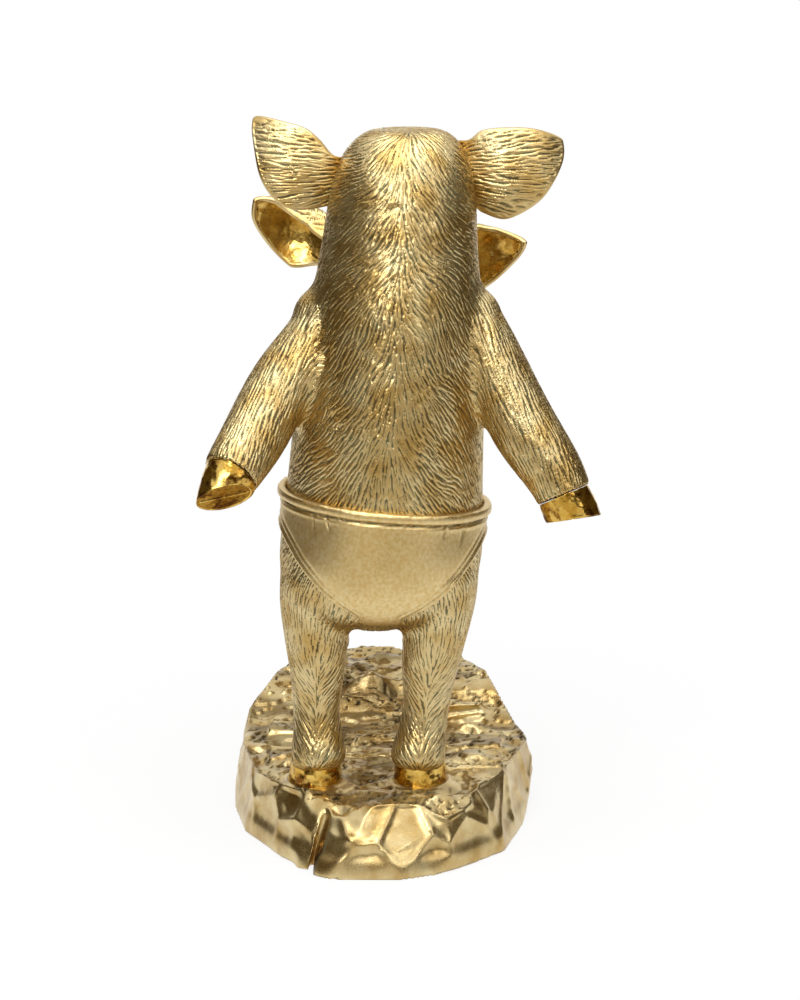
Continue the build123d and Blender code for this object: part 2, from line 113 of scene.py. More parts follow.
class PIGPAIR_PG_details(bpy.types.PropertyGroup):
    """How strongly the cloth, the plate and the rock are modelled."""

    roll_height: extent("Waistband roll", "Height, in millimetres, of the roll under the waistband", 0.45)
    pipe_height: extent("Leg piping", "Height, in millimetres, of the piping along a leg's edge", 0.3)
    pleat_depth: extent("Pleats", "Depth, in millimetres, of the pleats under the waistband", 0.6)
    dent_depth: extent("Dents", "Depth, in millimetres, of the shallow dents in the hooves", 0.4)
    beaten_depth: extent("Beaten linings", "Depth, in millimetres, of the marks in the ear linings", 0.3)
    layer_height: extent("Rock layers", "Height, in millimetres, of one layer on the rock's top", 1.15)
    layer_crack: extent("Layer cracks", "Depth, in millimetres, of the cracks under the layers' lips", 1.5)
    ring_height: extent("Rock rings", "Height, in millimetres, of the rings in the rock round a hoof", 0.45)


class PIGPAIR_PG_colours(bpy.types.PropertyGroup):
    """The metals, each pale and deep by turns, and the felt."""

    fur_pale: colour("Fur, pale", "Gold paint on the fur where it is paler", "#DCC692")
    fur_deep: colour("Fur, deep", "Gold paint on the fur where it is deeper", "#C3A363")
    cloth_pale: colour("Cloth, pale", "Satin gold paint on the briefs where it is paler", "#E6D09C")
    cloth_deep: colour("Cloth, deep", "Satin gold paint on the briefs where it is deeper", "#D8BA7C")
    plate_pale: colour("Plate, pale", "Gold plate of hooves, snouts and eyes where it is paler", "#E6C268")
    plate_deep: colour("Plate, deep", "Gold plate of hooves, snouts and eyes where it is deeper", "#C79A3E")
    lining_pale: colour("Lining, pale", "Gold plate in the ears where it is paler", "#EBCB78")
    lining_deep: colour("Lining, deep", "Gold plate in the ears where it is deeper", "#CFA044")
    stone_pale: colour("Stone, pale", "Gold paint on the rock where it is paler", "#DFCB98")
    stone_deep: colour("Stone, deep", "Gold paint on the rock where it is deeper", "#BE9F64")
    steel_pale: colour("Steel, pale", "Steel of the leg rods where it is paler", "#A8ABAE")
    steel_deep: colour("Steel, deep", "Steel of the leg rods where it is deeper", "#8E9194")
    felt: colour("Felt", "Felt under the rock", "#3B3A38")


class PIGPAIR_PG_stage(bpy.types.PropertyGroup):
    """Where the photograph was taken from."""

    distance: FloatProperty(
        name="Camera distance",
        description="Distance from the tall pig's middle to the camera",
        default=1.3,
        unit="LENGTH",
    )
    pitch: FloatProperty(
        name="Camera pitch",
        description="How far the camera looks down",
        default=math.radians(12.0),
        unit="ROTATION",
    )
    focal_pixels: FloatProperty(
        name="Focal length in pixels",
        description="Focal length measured in pixels of an image 1000 pixels high",
        default=3023.0,
        unit="NONE",
    )
    lamp_power: FloatProperty(
        name="Lamp power",
        description="Power, in watts, that every softbox takes its own share of",
        default=3.6,
        unit="NONE",
    )


# Small tools
def smooth_step(low, high, values):
    """0 below low, 1 above high, and an S-shaped rise between."""
    t = np.clip((values - low) / (high - low), 0, 1)
    return t * t * (3 - 2 * t)


def unit(vectors):
    """Rows scaled to length one."""
    return vectors / np.maximum(np.linalg.norm(vectors, axis=-1, keepdims=True), 1e-9)


def bell(distance, half_width):
    """1 where the distance is nothing, fading to both sides as a bell curve of that half width."""
    return np.exp(-((distance / half_width) ** 2))


def laid_flat(ways, normals):
    """Directions turned into the plane that is square to each normal."""
    return unit(ways - normals * (ways * normals).sum(1)[:, None])


def fill_mesh(mesh, points, faces):
    """Writes points in millimetres and faces, a list of arrays with one face to a row, into a mesh."""
    faces = [np.asarray(group, np.int32) for group in faces if len(group)]
    mesh.vertices.add(len(points))
    mesh.vertices.foreach_set("co", (np.asarray(points, np.float32) * MM).ravel())
    corners = np.concatenate([group.ravel() for group in faces])
    counts = np.concatenate([np.full(len(group), group.shape[1], np.int32) for group in faces])
    mesh.loops.add(len(corners))
    mesh.loops.foreach_set("vertex_index", corners)
    mesh.polygons.add(len(counts))
    mesh.polygons.foreach_set("loop_start", np.concatenate([[0], np.cumsum(counts)[:-1]]).astype(np.int32))
    mesh.polygons.foreach_set("loop_total", counts)
    mesh.update(calc_edges=True)
    mesh.validate()


def read_mesh(mesh):
    """A mesh's points in millimetres and its four-sided faces."""
    points = np.empty(len(mesh.vertices) * 3, np.float32)
    mesh.vertices.foreach_get("co", points)
    corners = np.empty(len(mesh.loops), np.int32)
    mesh.loops.foreach_get("vertex_index", corners)
    return points.reshape(-1, 3).astype(np.float64) / MM, corners.reshape(-1, 4)


def point_values(mesh, name, values):
    """Stores one number for each vertex, for the shaders to read."""
    attribute = mesh.attributes.new(name, "FLOAT", "POINT")
    attribute.data.foreach_set("value", np.asarray(values, np.float32))


def sharpen(mesh, rim):
    """Keeps the shading of two surfaces apart along their shared edges, given as pairs of points."""
    if not len(rim):
        return
    ends = np.empty(len(mesh.edges) * 2, np.int32)
    mesh.edges.foreach_get("vertices", ends)
    size = len(mesh.vertices)
    key = np.sort(ends.reshape(-1, 2), 1).astype(np.int64) @ np.array([size, 1])
    wanted = np.sort(rim, 1).astype(np.int64) @ np.array([size, 1])
    sharp = mesh.attributes.new("sharp_edge", "BOOLEAN", "EDGE")
    sharp.data.foreach_set("value", np.isin(key, wanted))


def place_piece(name, points, faces, finish, nodes, groove=None, rim=()):
    """Makes one piece at the origin, gives it its finish and lets it stand for its CAD nodes."""
    mesh = bpy.data.meshes.new(name)
    fill_mesh(mesh, points, faces)
    mesh.polygons.foreach_set("use_smooth", np.full(len(mesh.polygons), True))
    sharpen(mesh, rim)
    if groove is not None:
        point_values(mesh, "groove", groove)
    mesh.materials.append(finish_of(finish))
    piece = bpy.data.objects.new(name, mesh)
    bpy.context.scene.collection.objects.link(piece)
    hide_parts(*nodes)
    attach(piece, "root")
    return piece


def normals_of(points, quads):
    """Vertex normals from the diagonals of the faces round each vertex."""
    across = points[quads[:, 2]] - points[quads[:, 0]]
    along = points[quads[:, 3]] - points[quads[:, 1]]
    flat = np.cross(across, along)
    total = np.zeros_like(points)
    for axis in range(3):
        weights = np.repeat(flat[:, axis], 4)
        total[:, axis] = np.bincount(quads.ravel(), weights, len(points))
    return unit(total)


def relaxed(points, quads, weights, rounds):
    """Points moved towards the mean of their neighbours, as far as each one's weight allows."""
    start = np.concatenate([quads.ravel(), np.roll(quads, -1, axis=1).ravel()])
    end = np.concatenate([np.roll(quads, -1, axis=1).ravel(), quads.ravel()])
    count = np.maximum(np.bincount(start, minlength=len(points)), 1)[:, None]
    points = points.copy()
    for _ in range(rounds):
        mean = np.stack([np.bincount(start, points[end, axis], len(points)) for axis in range(3)], 1) / count
        points += (mean - points) * weights[:, None]
    return points


def averaged(values, quads, rounds):
    """Numbers on a skin's points, each replaced by the mean over the faces round it, again and again."""
    count = np.maximum(np.bincount(quads.ravel(), minlength=len(values)), 1)
    for _ in range(rounds):
        face = values[quads].mean(1)
        values = np.bincount(quads.ravel(), np.repeat(face, 4), len(values)) / count
    return values


def value_noise(points, cell, seed):
    """Smooth noise from 0 to 1: random numbers on a lattice, joined by an S-shaped curve along each axis."""
    lattice = np.random.default_rng(seed).random(64**3, dtype=np.float32)
    scaled = points / cell
    low = np.floor(scaled).astype(np.int64)
    part = (scaled - low).astype(np.float32)
    part = part * part * (3 - 2 * part)
    total = np.zeros(len(points), np.float32)
    for corner in range(8):
        steps = [(corner >> axis) & 1 for axis in range(3)]
        cellular = [(low[:, axis] + steps[axis]) & 63 for axis in range(3)]
        share = np.ones(len(points), np.float32)
        for axis in range(3):
            share *= part[:, axis] if steps[axis] else 1 - part[:, axis]
        total += share * lattice[(cellular[0] * 64 + cellular[1]) * 64 + cellular[2]]
    return total


def combed_noise(points, flow, cell, length, seed):
    """Noise averaged along the flow through each point, so that it runs in long locks. Mean 0, spread 1."""
    total = np.zeros(len(points), np.float32)
    for step in np.linspace(-0.5, 0.5, 15):
        weight = math.cos(math.pi * step) ** 2
        total += weight * value_noise(points + flow * (step * length), cell, seed)
    return (total - total.mean()) / total.std()


# Finishes
def add_node(tree, kind, inputs=None, **settings):
    """Adds a node, sets its properties, and links or sets its inputs."""
    node = tree.nodes.new(kind)
    for key, value in settings.items():
        setattr(node, key, value)
    for key, value in (inputs or {}).items():
        if isinstance(value, bpy.types.NodeSocket):
            tree.links.new(value, node.inputs[key])
        else:
            node.inputs[key].default_value = value
    return node


def new_material(name):
    """An empty material with its output node."""
    material = bpy.data.materials.new(name)
    material.use_nodes = True
    tree = material.node_tree
    tree.nodes.clear()
    return material, tree, tree.nodes.new("ShaderNodeOutputMaterial")


def gilded(name, tint, wash_and_shade_colours, rough, mottle=12.0, grain=0.5, bump=0.06, dark_reflection=None):
    """Gold paint or plate: pale and deep by turns, with two washes in the grooves where it has been wiped.

    The widths of the mottling and the grain and the depth of the bump are in millimetres. The flakes of a
    real paint are a tenth as wide as the grain, which is drawn that coarse to show. Where a dark reflection
    colour is given, it shows as painted dark reflections in scattered brown patches. The washes' colours
    also paint shade where a piece's groove values carry it. Without washes the metal is bare.
    """
    colours = bpy.context.scene.pigpair_colours
    pale, deep = getattr(colours, f"{tint}_pale"), getattr(colours, f"{tint}_deep")
    material, tree, output = new_material(name)
    place = add_node(tree, "ShaderNodeTexCoord").outputs["Object"]
    mottling = add_node(
        tree, "ShaderNodeTexNoise", {"Vector": place, "Scale": 1 / (mottle * MM), "Detail": 3.0}
    ).outputs["Fac"]
    tone = add_node(
        tree, "ShaderNodeMapRange", {"Value": mottling, "From Min": 0.35, "From Max": 0.65}
    ).outputs["Result"]
    surface = add_node(tree, "ShaderNodeMix", {0: tone, 6: deep, 7: pale}, data_type="RGBA").outputs[2]
    metallic = 1.0
    # painted reflection: brown patches that stand for the dark reflections in the plate
    if dark_reflection:
        patches = {"Vector": place, "Scale": 1 / (PATCH_WIDTH * MM), "Detail": 6.0, "Roughness": 0.7}
        patch = add_node(tree, "ShaderNodeTexNoise", patches).outputs["Fac"]
        dark_reflection_share = add_node(
            tree, "ShaderNodeMapRange", {"Value": patch, "From Min": 0.5, "From Max": 0.6, "To Max": 0.9}
        ).outputs["Result"]
        dark_reflection_inputs = {0: dark_reflection_share, 6: surface, 7: srgb(dark_reflection)}
        surface = add_node(tree, "ShaderNodeMix", dark_reflection_inputs, data_type="RGBA").outputs[2]
    # the washes darken the grooves, and also paint shade where the groove values carry it
    if wash_and_shade_colours:
        hollow = add_node(tree, "ShaderNodeAttribute", attribute_name="groove").outputs["Fac"]
        depth = add_node(
            tree, "ShaderNodeMapRange", {"Value": hollow, "From Min": 0.35}, interpolation_type="SMOOTHSTEP"
        ).outputs["Result"]
        wash_and_shade_tones = {0: tone, 6: srgb(wash_and_shade_colours[0]), 7: srgb(wash_and_shade_colours[1])}
        wash_and_shade = add_node(tree, "ShaderNodeMix", wash_and_shade_tones, data_type="RGBA").outputs[2]
        washed_and_shaded = {0: depth, 6: surface, 7: wash_and_shade}
        surface = add_node(tree, "ShaderNodeMix", washed_and_shaded, data_type="RGBA").outputs[2]
        metallic = add_node(
            tree, "ShaderNodeMapRange", {"Value": depth, "To Min": 1.0, "To Max": 0.7}
        ).outputs["Result"]
    fine = add_node(
        tree, "ShaderNodeTexNoise", {"Vector": place, "Scale": 1 / (grain * MM), "Detail": 2.0}
    ).outputs["Fac"]
    spread = {"From Min": 0.3, "From Max": 0.7, "To Min": rough - 0.06, "To Max": rough + 0.08}
    roughness = add_node(tree, "ShaderNodeMapRange", {"Value": fine, **spread}).outputs["Result"]
    height = {"Height": fine, "Strength": 0.5, "Distance": bump * MM}
    normal = add_node(tree, "ShaderNodeBump", height).outputs["Normal"]
    look = {"Base Color": surface, "Metallic": metallic, "Roughness": roughness, "Normal": normal}
    shader = add_node(tree, "ShaderNodeBsdfPrincipled", look)
    tree.links.new(shader.outputs["BSDF"], output.inputs["Surface"])
    return material


def felted(name, rough):
    """A matt fibre sheet with a fine felted grain, its fibres drawn coarse enough to show."""
    material, tree, output = new_material(name)
    place = add_node(tree, "ShaderNodeTexCoord").outputs["Object"]
    fibres = {"Vector": place, "Scale": 1 / (FIBRE_WIDTH * MM), "Detail": 4.0}
    fibre = add_node(tree, "ShaderNodeTexNoise", fibres).outputs["Fac"]
    height = {"Height": fibre, "Strength": 0.6, "Distance": 0.2 * MM}
    normal = add_node(tree, "ShaderNodeBump", height).outputs["Normal"]
    felt = bpy.context.scene.pigpair_colours.felt
    look = {"Base Color": felt, "Roughness": rough, "Normal": normal}
    shader = add_node(tree, "ShaderNodeBsdfPrincipled", look)
    tree.links.new(shader.outputs["BSDF"], output.inputs["Surface"])
    return material


# Widths, in millimetres, of the patches of painted dark reflection on the plate and of the felt's fibres
PATCH_WIDTH = 9.0
FIBRE_WIDTH = 0.8
# Metal finishes under the names of their materials: which colours, the two washes, which also paint shade,
# the roughness, the sizes of the patterns in millimetres and any colour of painted dark reflection
METALS = {
    # gold paint over modelled fur, wiped so that a dark wash stays in the grooves: satin locks, dark lines
    "fur gold paint": dict(tint="fur", wash_and_shade_colours=("#54401E", "#6A6A4A"), rough=0.33),
    # electroplated gold of the ear linings, without wear: mirrors the room, a little blurred by the beating
    "lining gold plate": dict(
        tint="lining", wash_and_shade_colours=("#4A2A0C", "#6A6A4A"), rough=0.17, mottle=6.0, grain=1.2, bump=0.03
    ),
    # satin gold paint of the cloth, sprayed on smooth resin: broad soft highlights, a fine sparkle and
    # painted shade
    "satin gold paint": dict(tint="cloth", wash_and_shade_colours=("#5B4422", "#6A6A4A"), rough=0.4, mottle=1.5, grain=0.35),
    # electroplated gold of hooves, snouts and eyes: sharp highlights, and brown patches of painted dark
    # reflection
    "polished gold plate": dict(
        tint="plate", wash_and_shade_colours=("#4A2A0C", "#6A6A4A"), rough=0.17, mottle=7.0, grain=1.2, bump=0.05,
        dark_reflection="#6A3A14",
    ),
    # satin gold paint over stone facets, with a brown wash that stays in cracks and between the layers
    "rock gold paint": dict(tint="stone", wash_and_shade_colours=("#2A1B06", "#57451F"), rough=0.31, bump=0.05),
    # bare drawn steel: grey with long soft highlights
    "bare steel rod": dict(tint="steel", wash_and_shade_colours=(), rough=0.3),
}
# The finishes made so far, under their names
MADE_FINISHES = {}


def finish_of(name):
    """The named finish, made the first time that it is asked for."""
    if name not in MADE_FINISHES:
        # dark pressed felt, which looks matt from every side, is the only finish that isn't metal
        made = gilded(name, **METALS[name]) if name in METALS else felted(name, 0.95)
        MADE_FINISHES[name] = made
    return MADE_FINISHES[name]


# The two pigs
# A pig's middle line runs from its foot along its rise; facing is +1 for +Y and -1 for -Y.
PIGS = {
    "tall_pig": {
        "foot": (-7.0, -68.0, 28.5),
        "rise": (17.5, 4.0, 285.0),
        "facing": 1,
        "scale": 1.0,
        "snout": (2.6, -2.7, 254.0),
        "skull": (8.2, -55.9, 276.4),
        "limbs": {
            "left_arm": [
                (-22.7, -65.2, 233.9), (-46.8, -81.2, 199.5), (-60.2, -99.2, 177.9), (-65.4, -109.2, 165.3),
            ],
            "right_arm": [
                (35.6, -65.2, 233.9), (55.9, -75.2, 197.0), (74.4, -84.2, 168.0), (81.4, -87.1, 151.4),
            ],
            "left_leg": [
                (-22.2, -66.0, 132.7), (-28.2, -71.0, 87.4), (-28.5, -67.6, 56.1), (-29.5, -66.8, 37.0),
            ],
            "right_leg": [
                (21.0, -66.0, 132.7), (21.5, -71.0, 87.4), (17.9, -67.6, 56.1), (16.5, -66.8, 37.0),
            ],
        },
    },
    "short_pig": {
        "foot": (-4.1, 79.4, 43.0),
        "rise": (2.7, -39.0, 222.3),
        "facing": -1,
        "scale": 0.78,
        "snout": (2.6, -2.7, 254.0),
        "skull": (-1.7, 38.7, 236.4),
        "limbs": {
            "left_arm": [
                (19.7, 49.1, 199.8), (24.6, 20.3, 192.7), (16.9, -4.3, 197.0), (12.0, -23.9, 203.3),
            ],
            "right_arm": [
                (-24.1, 49.1, 199.8), (-28.3, 20.3, 186.4), (-19.1, -5.0, 189.9), (-12.8, -25.3, 197.7),
            ],
            "left_leg": [
                (18.5, 64.7, 124.3), (21.3, 74.3, 89.0), (19.4, 75.6, 64.6), (19.0, 77.4, 49.7),
            ],
            "right_leg": [
                (-24.7, 64.7, 124.3), (-28.4, 74.3, 89.0), (-27.1, 75.6, 64.6), (-27.0, 77.4, 49.7),
            ],
        },
    },
}


def casting_triangles(name):
    """A CAD node's points in millimetres and its triangles."""
    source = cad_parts[name].data
    source.calc_loop_triangles()
    points = np.empty(len(source.vertices) * 3, np.float32)
    source.vertices.foreach_get("co", points)
    triangles = np.empty(len(source.loop_triangles) * 3, np.int32)
    source.loop_triangles.foreach_get("vertices", triangles)
    return points.reshape(-1, 3) / MM, triangles.reshape(-1, 3)


def joined_castings(names, grain):
    """One closed skin of equal four-sided cells round several castings that touch or overlap."""
    mesh = bpy.data.meshes.new("castings")
    points, triangles, start = [], [], 0
    for name in names:
        corners, faces = casting_triangles(name)
        points.append(corners)
        triangles.append(faces + start)
        start += len(corners)
    fill_mesh(mesh, np.concatenate(points), [np.concatenate(triangles)])
    blank = bpy.data.objects.new("castings", mesh)
    bpy.context.scene.collection.objects.link(blank)
    remesh = blank.modifiers.new("cells", "REMESH")
    remesh.mode = "VOXEL"
    remesh.voxel_size = grain * MM
    return evaluated(blank)


def evaluated(blank):
    """The points and faces of a scratch object after its modifiers; the object is then removed."""
    graph = bpy.context.evaluated_depsgraph_get()
    mesh = bpy.data.meshes.new_from_object(blank.evaluated_get(graph))
    points, quads = read_mesh(mesh)
    old = blank.data
    bpy.data.objects.remove(blank)
    bpy.data.meshes.remove(old)
    bpy.data.meshes.remove(mesh)
    return points, quads


def split_in_four(points, quads, values=()):
    """Each face split in four at its edges' middles and its own middle; numbers at the points follow."""
    start, end = quads.ravel(), np.roll(quads, -1, axis=1).ravel()
    key = np.minimum(start, end).astype(np.int64) * len(points) + np.maximum(start, end)
    _, first, edge = np.unique(key, return_index=True, return_inverse=True)
    edge = edge.reshape(-1, 4) + len(points)
    face = np.arange(len(quads))[:, None] + len(points) + len(first)
    children = [[quads[:, k], edge[:, k], face[:, 0], edge[:, k - 1]] for k in range(4)]
    fine = np.array(children).transpose(2, 0, 1).reshape(-1, 4)

    def spread(numbers):
        halfway = (numbers[start[first]] + numbers[end[first]]) / 2
        return np.concatenate([numbers, halfway, numbers[quads].mean(1)])

    return spread(points), fine, [spread(v) for v in values]


def distances(points, node):
    """How far each point lies from a CAD node's surface, measured by a node tree on scratch objects."""
    cloud = bpy.data.meshes.new("cloud")
    cloud.vertices.add(len(points))
    cloud.vertices.foreach_set("co", (np.asarray(points, np.float32) * MM).ravel())
    blank, target = (bpy.data.objects.new("scratch", mesh) for mesh in (cloud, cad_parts[node].data))
    bpy.context.scene.collection.objects.link(blank)
    bpy.context.scene.collection.objects.link(target)
    tree = bpy.data.node_groups.new("distances", "GeometryNodeTree")
    for side in ("INPUT", "OUTPUT"):
        tree.interface.new_socket("Geometry", in_out=side, socket_type="NodeSocketGeometry")
    casting = add_node(tree, "GeometryNodeObjectInfo", {"Object": target}).outputs["Geometry"]
    reach = add_node(tree, "GeometryNodeProximity", {0: casting}, target_element="FACES").outputs["Distance"]
    wanted = {"Geometry": add_node(tree, "NodeGroupInput").outputs[0], "Name": "reach", "Value": reach}
    stored = add_node(tree, "GeometryNodeStoreNamedAttribute", wanted, data_type="FLOAT", domain="POINT")
    add_node(tree, "NodeGroupOutput", {0: stored.outputs["Geometry"]})
    blank.modifiers.new("distances", "NODES").node_group = tree
    graph = bpy.context.evaluated_depsgraph_get()
    found = np.empty(len(points), np.float32)
    blank.evaluated_get(graph).data.attributes["reach"].data.foreach_get("value", found)
    bpy.data.objects.remove(blank)
    bpy.data.objects.remove(target)
    bpy.data.meshes.remove(cloud)
    bpy.data.node_groups.remove(tree)
    return found.astype(np.float64) / MM


def along_line(points, line):
    """The direction of the nearest stretch of a polyline, blended along its length."""
    line = np.array(line, float)
    middles, ways = (line[1:] + line[:-1]) / 2, unit(line[1:] - line[:-1])
    reach = np.linalg.norm(points[:, None] - middles[None], axis=2)
    share = np.exp(-((reach - reach.min(1, keepdims=True)) / 9.0))
    return unit((share[:, :, None] * ways[None]).sum(1))


def body_angle(pig, points):
    """Share of the way up the middle line, and the angle round it from the middle of the back."""
    foot, rise = np.array(pig["foot"]), np.array(pig["rise"])
    share = (points - foot) @ rise / (rise @ rise)
    out = points - (foot + share[:, None] * rise)
    angle = np.arctan2(out[:, 0] * pig["facing"], -out[:, 1] * pig["facing"])
    return share, angle


# How far the locks lean out from straight down, in degrees: a row for each share of the pig's height, and
# seven columns from the middle of the back to the middle of the front, closer together near the back
LEAN_HEIGHTS = [0.0, 0.30, 0.42, 0.48, 0.54, 0.60, 0.66, 0.72, 0.78, 0.84, 0.90, 0.95, 1.0]
LEAN_TABLE = [
    [0, 5, 10, 10, 5, 0, 0],
    [0, 18, 30, 30, 15, 5, 0],
    [0, 28, 45, 50, 30, 10, 0],
    [0, 30, 50, 50, 30, 10, 0],
    [0, 25, 42, 45, 25, 10, 0],
    [0, 22, 40, 42, 25, 10, 0],
    [0, 20, 38, 40, 25, 10, 0],
    [0, 22, 38, 42, 25, 10, 0],
    [0, 34, 48, 50, 35, 15, 0],
    [0, 42, 56, 60, 60, 40, 20],
    [0, 38, 54, 60, 70, 60, 40],
    [0, 26, 44, 60, 70, 70, 60],
    [0, 10, 20, 30, 60, 70, 70],
]


def leaned(share, angle):
    """The lock's lean in radians, read smoothly from the table, outward on both sides."""
    table = np.array(LEAN_TABLE, float)
    rows, columns = table.shape
    row = np.interp(share, LEAN_HEIGHTS, np.arange(rows))
    column = (np.abs(angle) / math.pi) ** 0.75 * (columns - 1)
    i, j = np.minimum(row.astype(int), rows - 2), np.minimum(column.astype(int), columns - 2)
    down, over = row - i, column - j
    here = table[i, j] * (1 - down) + table[i + 1, j] * down
    beside = table[i, j + 1] * (1 - down) + table[i + 1, j + 1] * down
    return np.radians(here * (1 - over) + beside * over) * np.sign(angle)


def trunk_flow(pig, points, normals):
    """Which way the locks run on the trunk: down it, leaned outward by the table and by a gentle wave."""
    share, angle = body_angle(pig, points)
    down = laid_flat(-unit(np.array(pig["rise"], float))[None], normals)
    outward = np.stack([np.cos(angle), np.sin(angle), np.zeros_like(angle)], 1) * pig["facing"]
    side = laid_flat(outward, normals)
    wave = value_noise(points, 13.0, 5) - 0.5 + 0.5 * (value_noise(points, 6.0, 6) - 0.5)
    lean = leaned(share, angle) + np.radians(40) * wave
    return down * np.cos(lean)[:, None] + side * np.sin(lean)[:, None], share


def chevrons(pig, points, line, limb, normals):
    """A leg's own line leaned in from both sides towards the middle of its back, below the knee."""
    knee = np.array(line[1])
    heights, places = [corner[2] for corner in line[::-1]], [corner[0] for corner in line[::-1]]
    beside = points[:, 0] - np.interp(points[:, 2], heights, places)
    turn = np.arctan2(beside, -(points[:, 1] - knee[1]) * pig["facing"])
    lean = -np.radians(42) * np.tanh(3.0 * np.sin(turn))
    lean *= smooth_step(knee[2] + 15, knee[2] - 12, points[:, 2])
    across = np.cross(limb, normals)
    across = across * np.sign(across[:, :1] + 1e-9)
    return limb * np.cos(lean)[:, None] + across * np.sin(lean)[:, None]


def fur_flow(pig, points, normals, nearness):
    """Which way the locks of hair run at each point of a pig's skin.

    Round the muzzle the locks run back from the snout. On an arm they follow its line and droop a little,
    and on a leg they meet in chevrons. Elsewhere the trunk's own flow holds. All are laid flat on the skin.
    """
    flow, share = trunk_flow(pig, points, normals)
    snout, skull = np.array(pig["snout"]), np.array(pig["skull"])
    gaze = unit(snout - skull)
    muzzle = smooth_step(14, 34, (points - skull) @ gaze)[:, None] * (share > 0.7)[:, None]
    flow = unit(flow * (1 - muzzle) + laid_flat(-gaze[None], normals) * muzzle)
    for name, line in pig["limbs"].items():
        limb = along_line(points, line)
        if "leg" in name:
            limb = chevrons(pig, points, line, limb, normals)
        else:
            limb = unit(limb * 0.75 + np.array([0, 0, -0.35]))
        weight = nearness[name][:, None]
        flow = unit(flow * (1 - weight) + laid_flat(limb, normals) * weight)
    return flow


def closed_part(points, quads, groove):
    """The used points and faces of one part of a skin, with a fan over each open rim."""
    edges = np.stack([quads, np.roll(quads, -1, axis=1)], axis=2).reshape(-1, 2)
    key = edges.min(1).astype(np.int64) * len(points) + edges.max(1)
    _, first, count = np.unique(key, return_index=True, return_counts=True)
    rim = edges[first[count == 1]]
    following = dict(zip(rim[:, 0].tolist(), rim[:, 1].tolist()))
    fans, centres = [], []
    while following:
        start, here = next(iter(following.items()))
        loop = [start]
        del following[start]
        while here != start and here in following:
            loop.append(here)
            here = following.pop(here)
        middle = len(points) + len(centres)
        centres.append(points[loop].mean(0))
        ring = np.array(loop)
        fans.append(np.stack([np.roll(ring, -1), ring, np.full(len(ring), middle)], 1))
    if centres:
        points = np.concatenate([points, centres])
        groove = np.concatenate([groove, np.zeros(len(centres))])
    fan = np.concatenate(fans) if fans else np.zeros((0, 3), int)
    used, inverse = np.unique(np.concatenate([quads.ravel(), fan.ravel()]), return_inverse=True)
    size = quads.size
    return points[used], inverse[:size].reshape(-1, 4), inverse[size:].reshape(-1, 3), groove[used]


def face_frame(pig):
    """The middle of the skull and the face's directions: across to the pig's right, up the brow, ahead."""
    skull, snout = np.array(pig["skull"]), np.array(pig["snout"])
    ahead = unit(snout - skull)
    across = unit(np.cross(ahead, [0.0, 0.0, 1.0]))
    return skull, np.stack([across, np.cross(across, ahead), ahead])


# Where an eye lies in the tall pig's face: across, up and ahead of the skull's middle
EYE = (26.4, 15.0, 24.4)
EYE_RADIUS = 3.5


def in_face(pig, points):
    """Points as lengths across, up and ahead of the skull's middle."""
    skull, rows = face_frame(pig)
    return (points - skull) @ rows.T


def sculpted_face(pig, points, normals):
    """Lids round the eyes, a mouth line along the muzzle and soft folds over the snout, along the normals.

    A lid is a ring whose height falls off as a bell curve of the distance from the ring. The mouth is a
    groove with the same curve, measured from a line that rises from the snout to the cheek.
    """
    scale = pig["scale"]
    place = in_face(pig, points) / scale
    rise = np.zeros(len(points))
    lid_height, lid_radius, socket_depth = 0.9, 4.9, 0.8
    lip_height, mouth_depth, fold_depth = 0.5, 1.2, 0.5
    for side in (-1, 1):
        reach = np.linalg.norm(place - [side * EYE[0], EYE[1], EYE[2]], axis=1)
        rise += lid_height * bell(reach - lid_radius, 1.1) - socket_depth * bell(reach, 3.0)
        over_mouth = place[:, 1] + 11.0 - 0.16 * (54 - place[:, 2])
        ends = smooth_step(22, 30, place[:, 2]) * smooth_step(55, 50, place[:, 2]) * (place[:, 0] * side > 3)
        rise += (lip_height * bell(over_mouth - 2.2, 1.4) - mouth_depth * bell(over_mouth, 1.0)) * ends
    for run in (40.0, 45.5):
        fold = place[:, 2] - run - 0.05 * np.abs(place[:, 0])
        rise -= fold_depth * bell(fold, 1.1) * smooth_step(-2, 8, place[:, 1])
    return points + normals * (rise * scale)[:, None]


# Creases of the tall pig as seen from behind: middle across and up, half length, slope, depth
BACK_CREASES = [
    (5.5, 283.5, 3.0, 0.3, 0.6), (-26.5, 231.0, 9.0, 5.0, 1.1), (-24.5, 219.0, 6.0, 6.0, 0.8),
    (44.5, 229.0, 8.0, -3.5, 1.1), (-21.0, 197.0, 3.0, 0.6, 0.9), (-19.0, 192.5, 3.0, -0.2, 0.8),
]


def creased(pig, points):
    """How far the creases and their swollen upper lips raise or sink the skin on the pig's back.

    A crease is a bell curve of the distance from a sloping line, and fades along the line by another one.
    """
    scale, foot = pig["scale"], np.array(pig["foot"])
    tall_foot = PIGS["tall_pig"]["foot"]
    rise = np.zeros(len(points))
    place = (points - foot) / scale * [pig["facing"], pig["facing"], 1.0]
    behind = smooth_step(4.0, -4.0, place[:, 1])
    for across, up, half, slope, depth in BACK_CREASES:
        over, high = place[:, 0] - (across - tall_foot[0]), place[:, 2] - (up - tall_foot[2])
        length = math.hypot(1, slope)
        along, off = (over + slope * high) / length, (high - slope * over) / length
        rise += bell(along, half) * behind * depth * (0.6 * bell(off - 3.2, 2.2) - bell(off, 1.5))
    return rise * scale


# Slices of the trunk, from below: name and the share of the pig's height where it ends
TRUNK_SLICES = [("seat", 0.46), ("waist", 0.60), ("chest", 0.74), ("neck", 0.86), ("head", 2.0)]


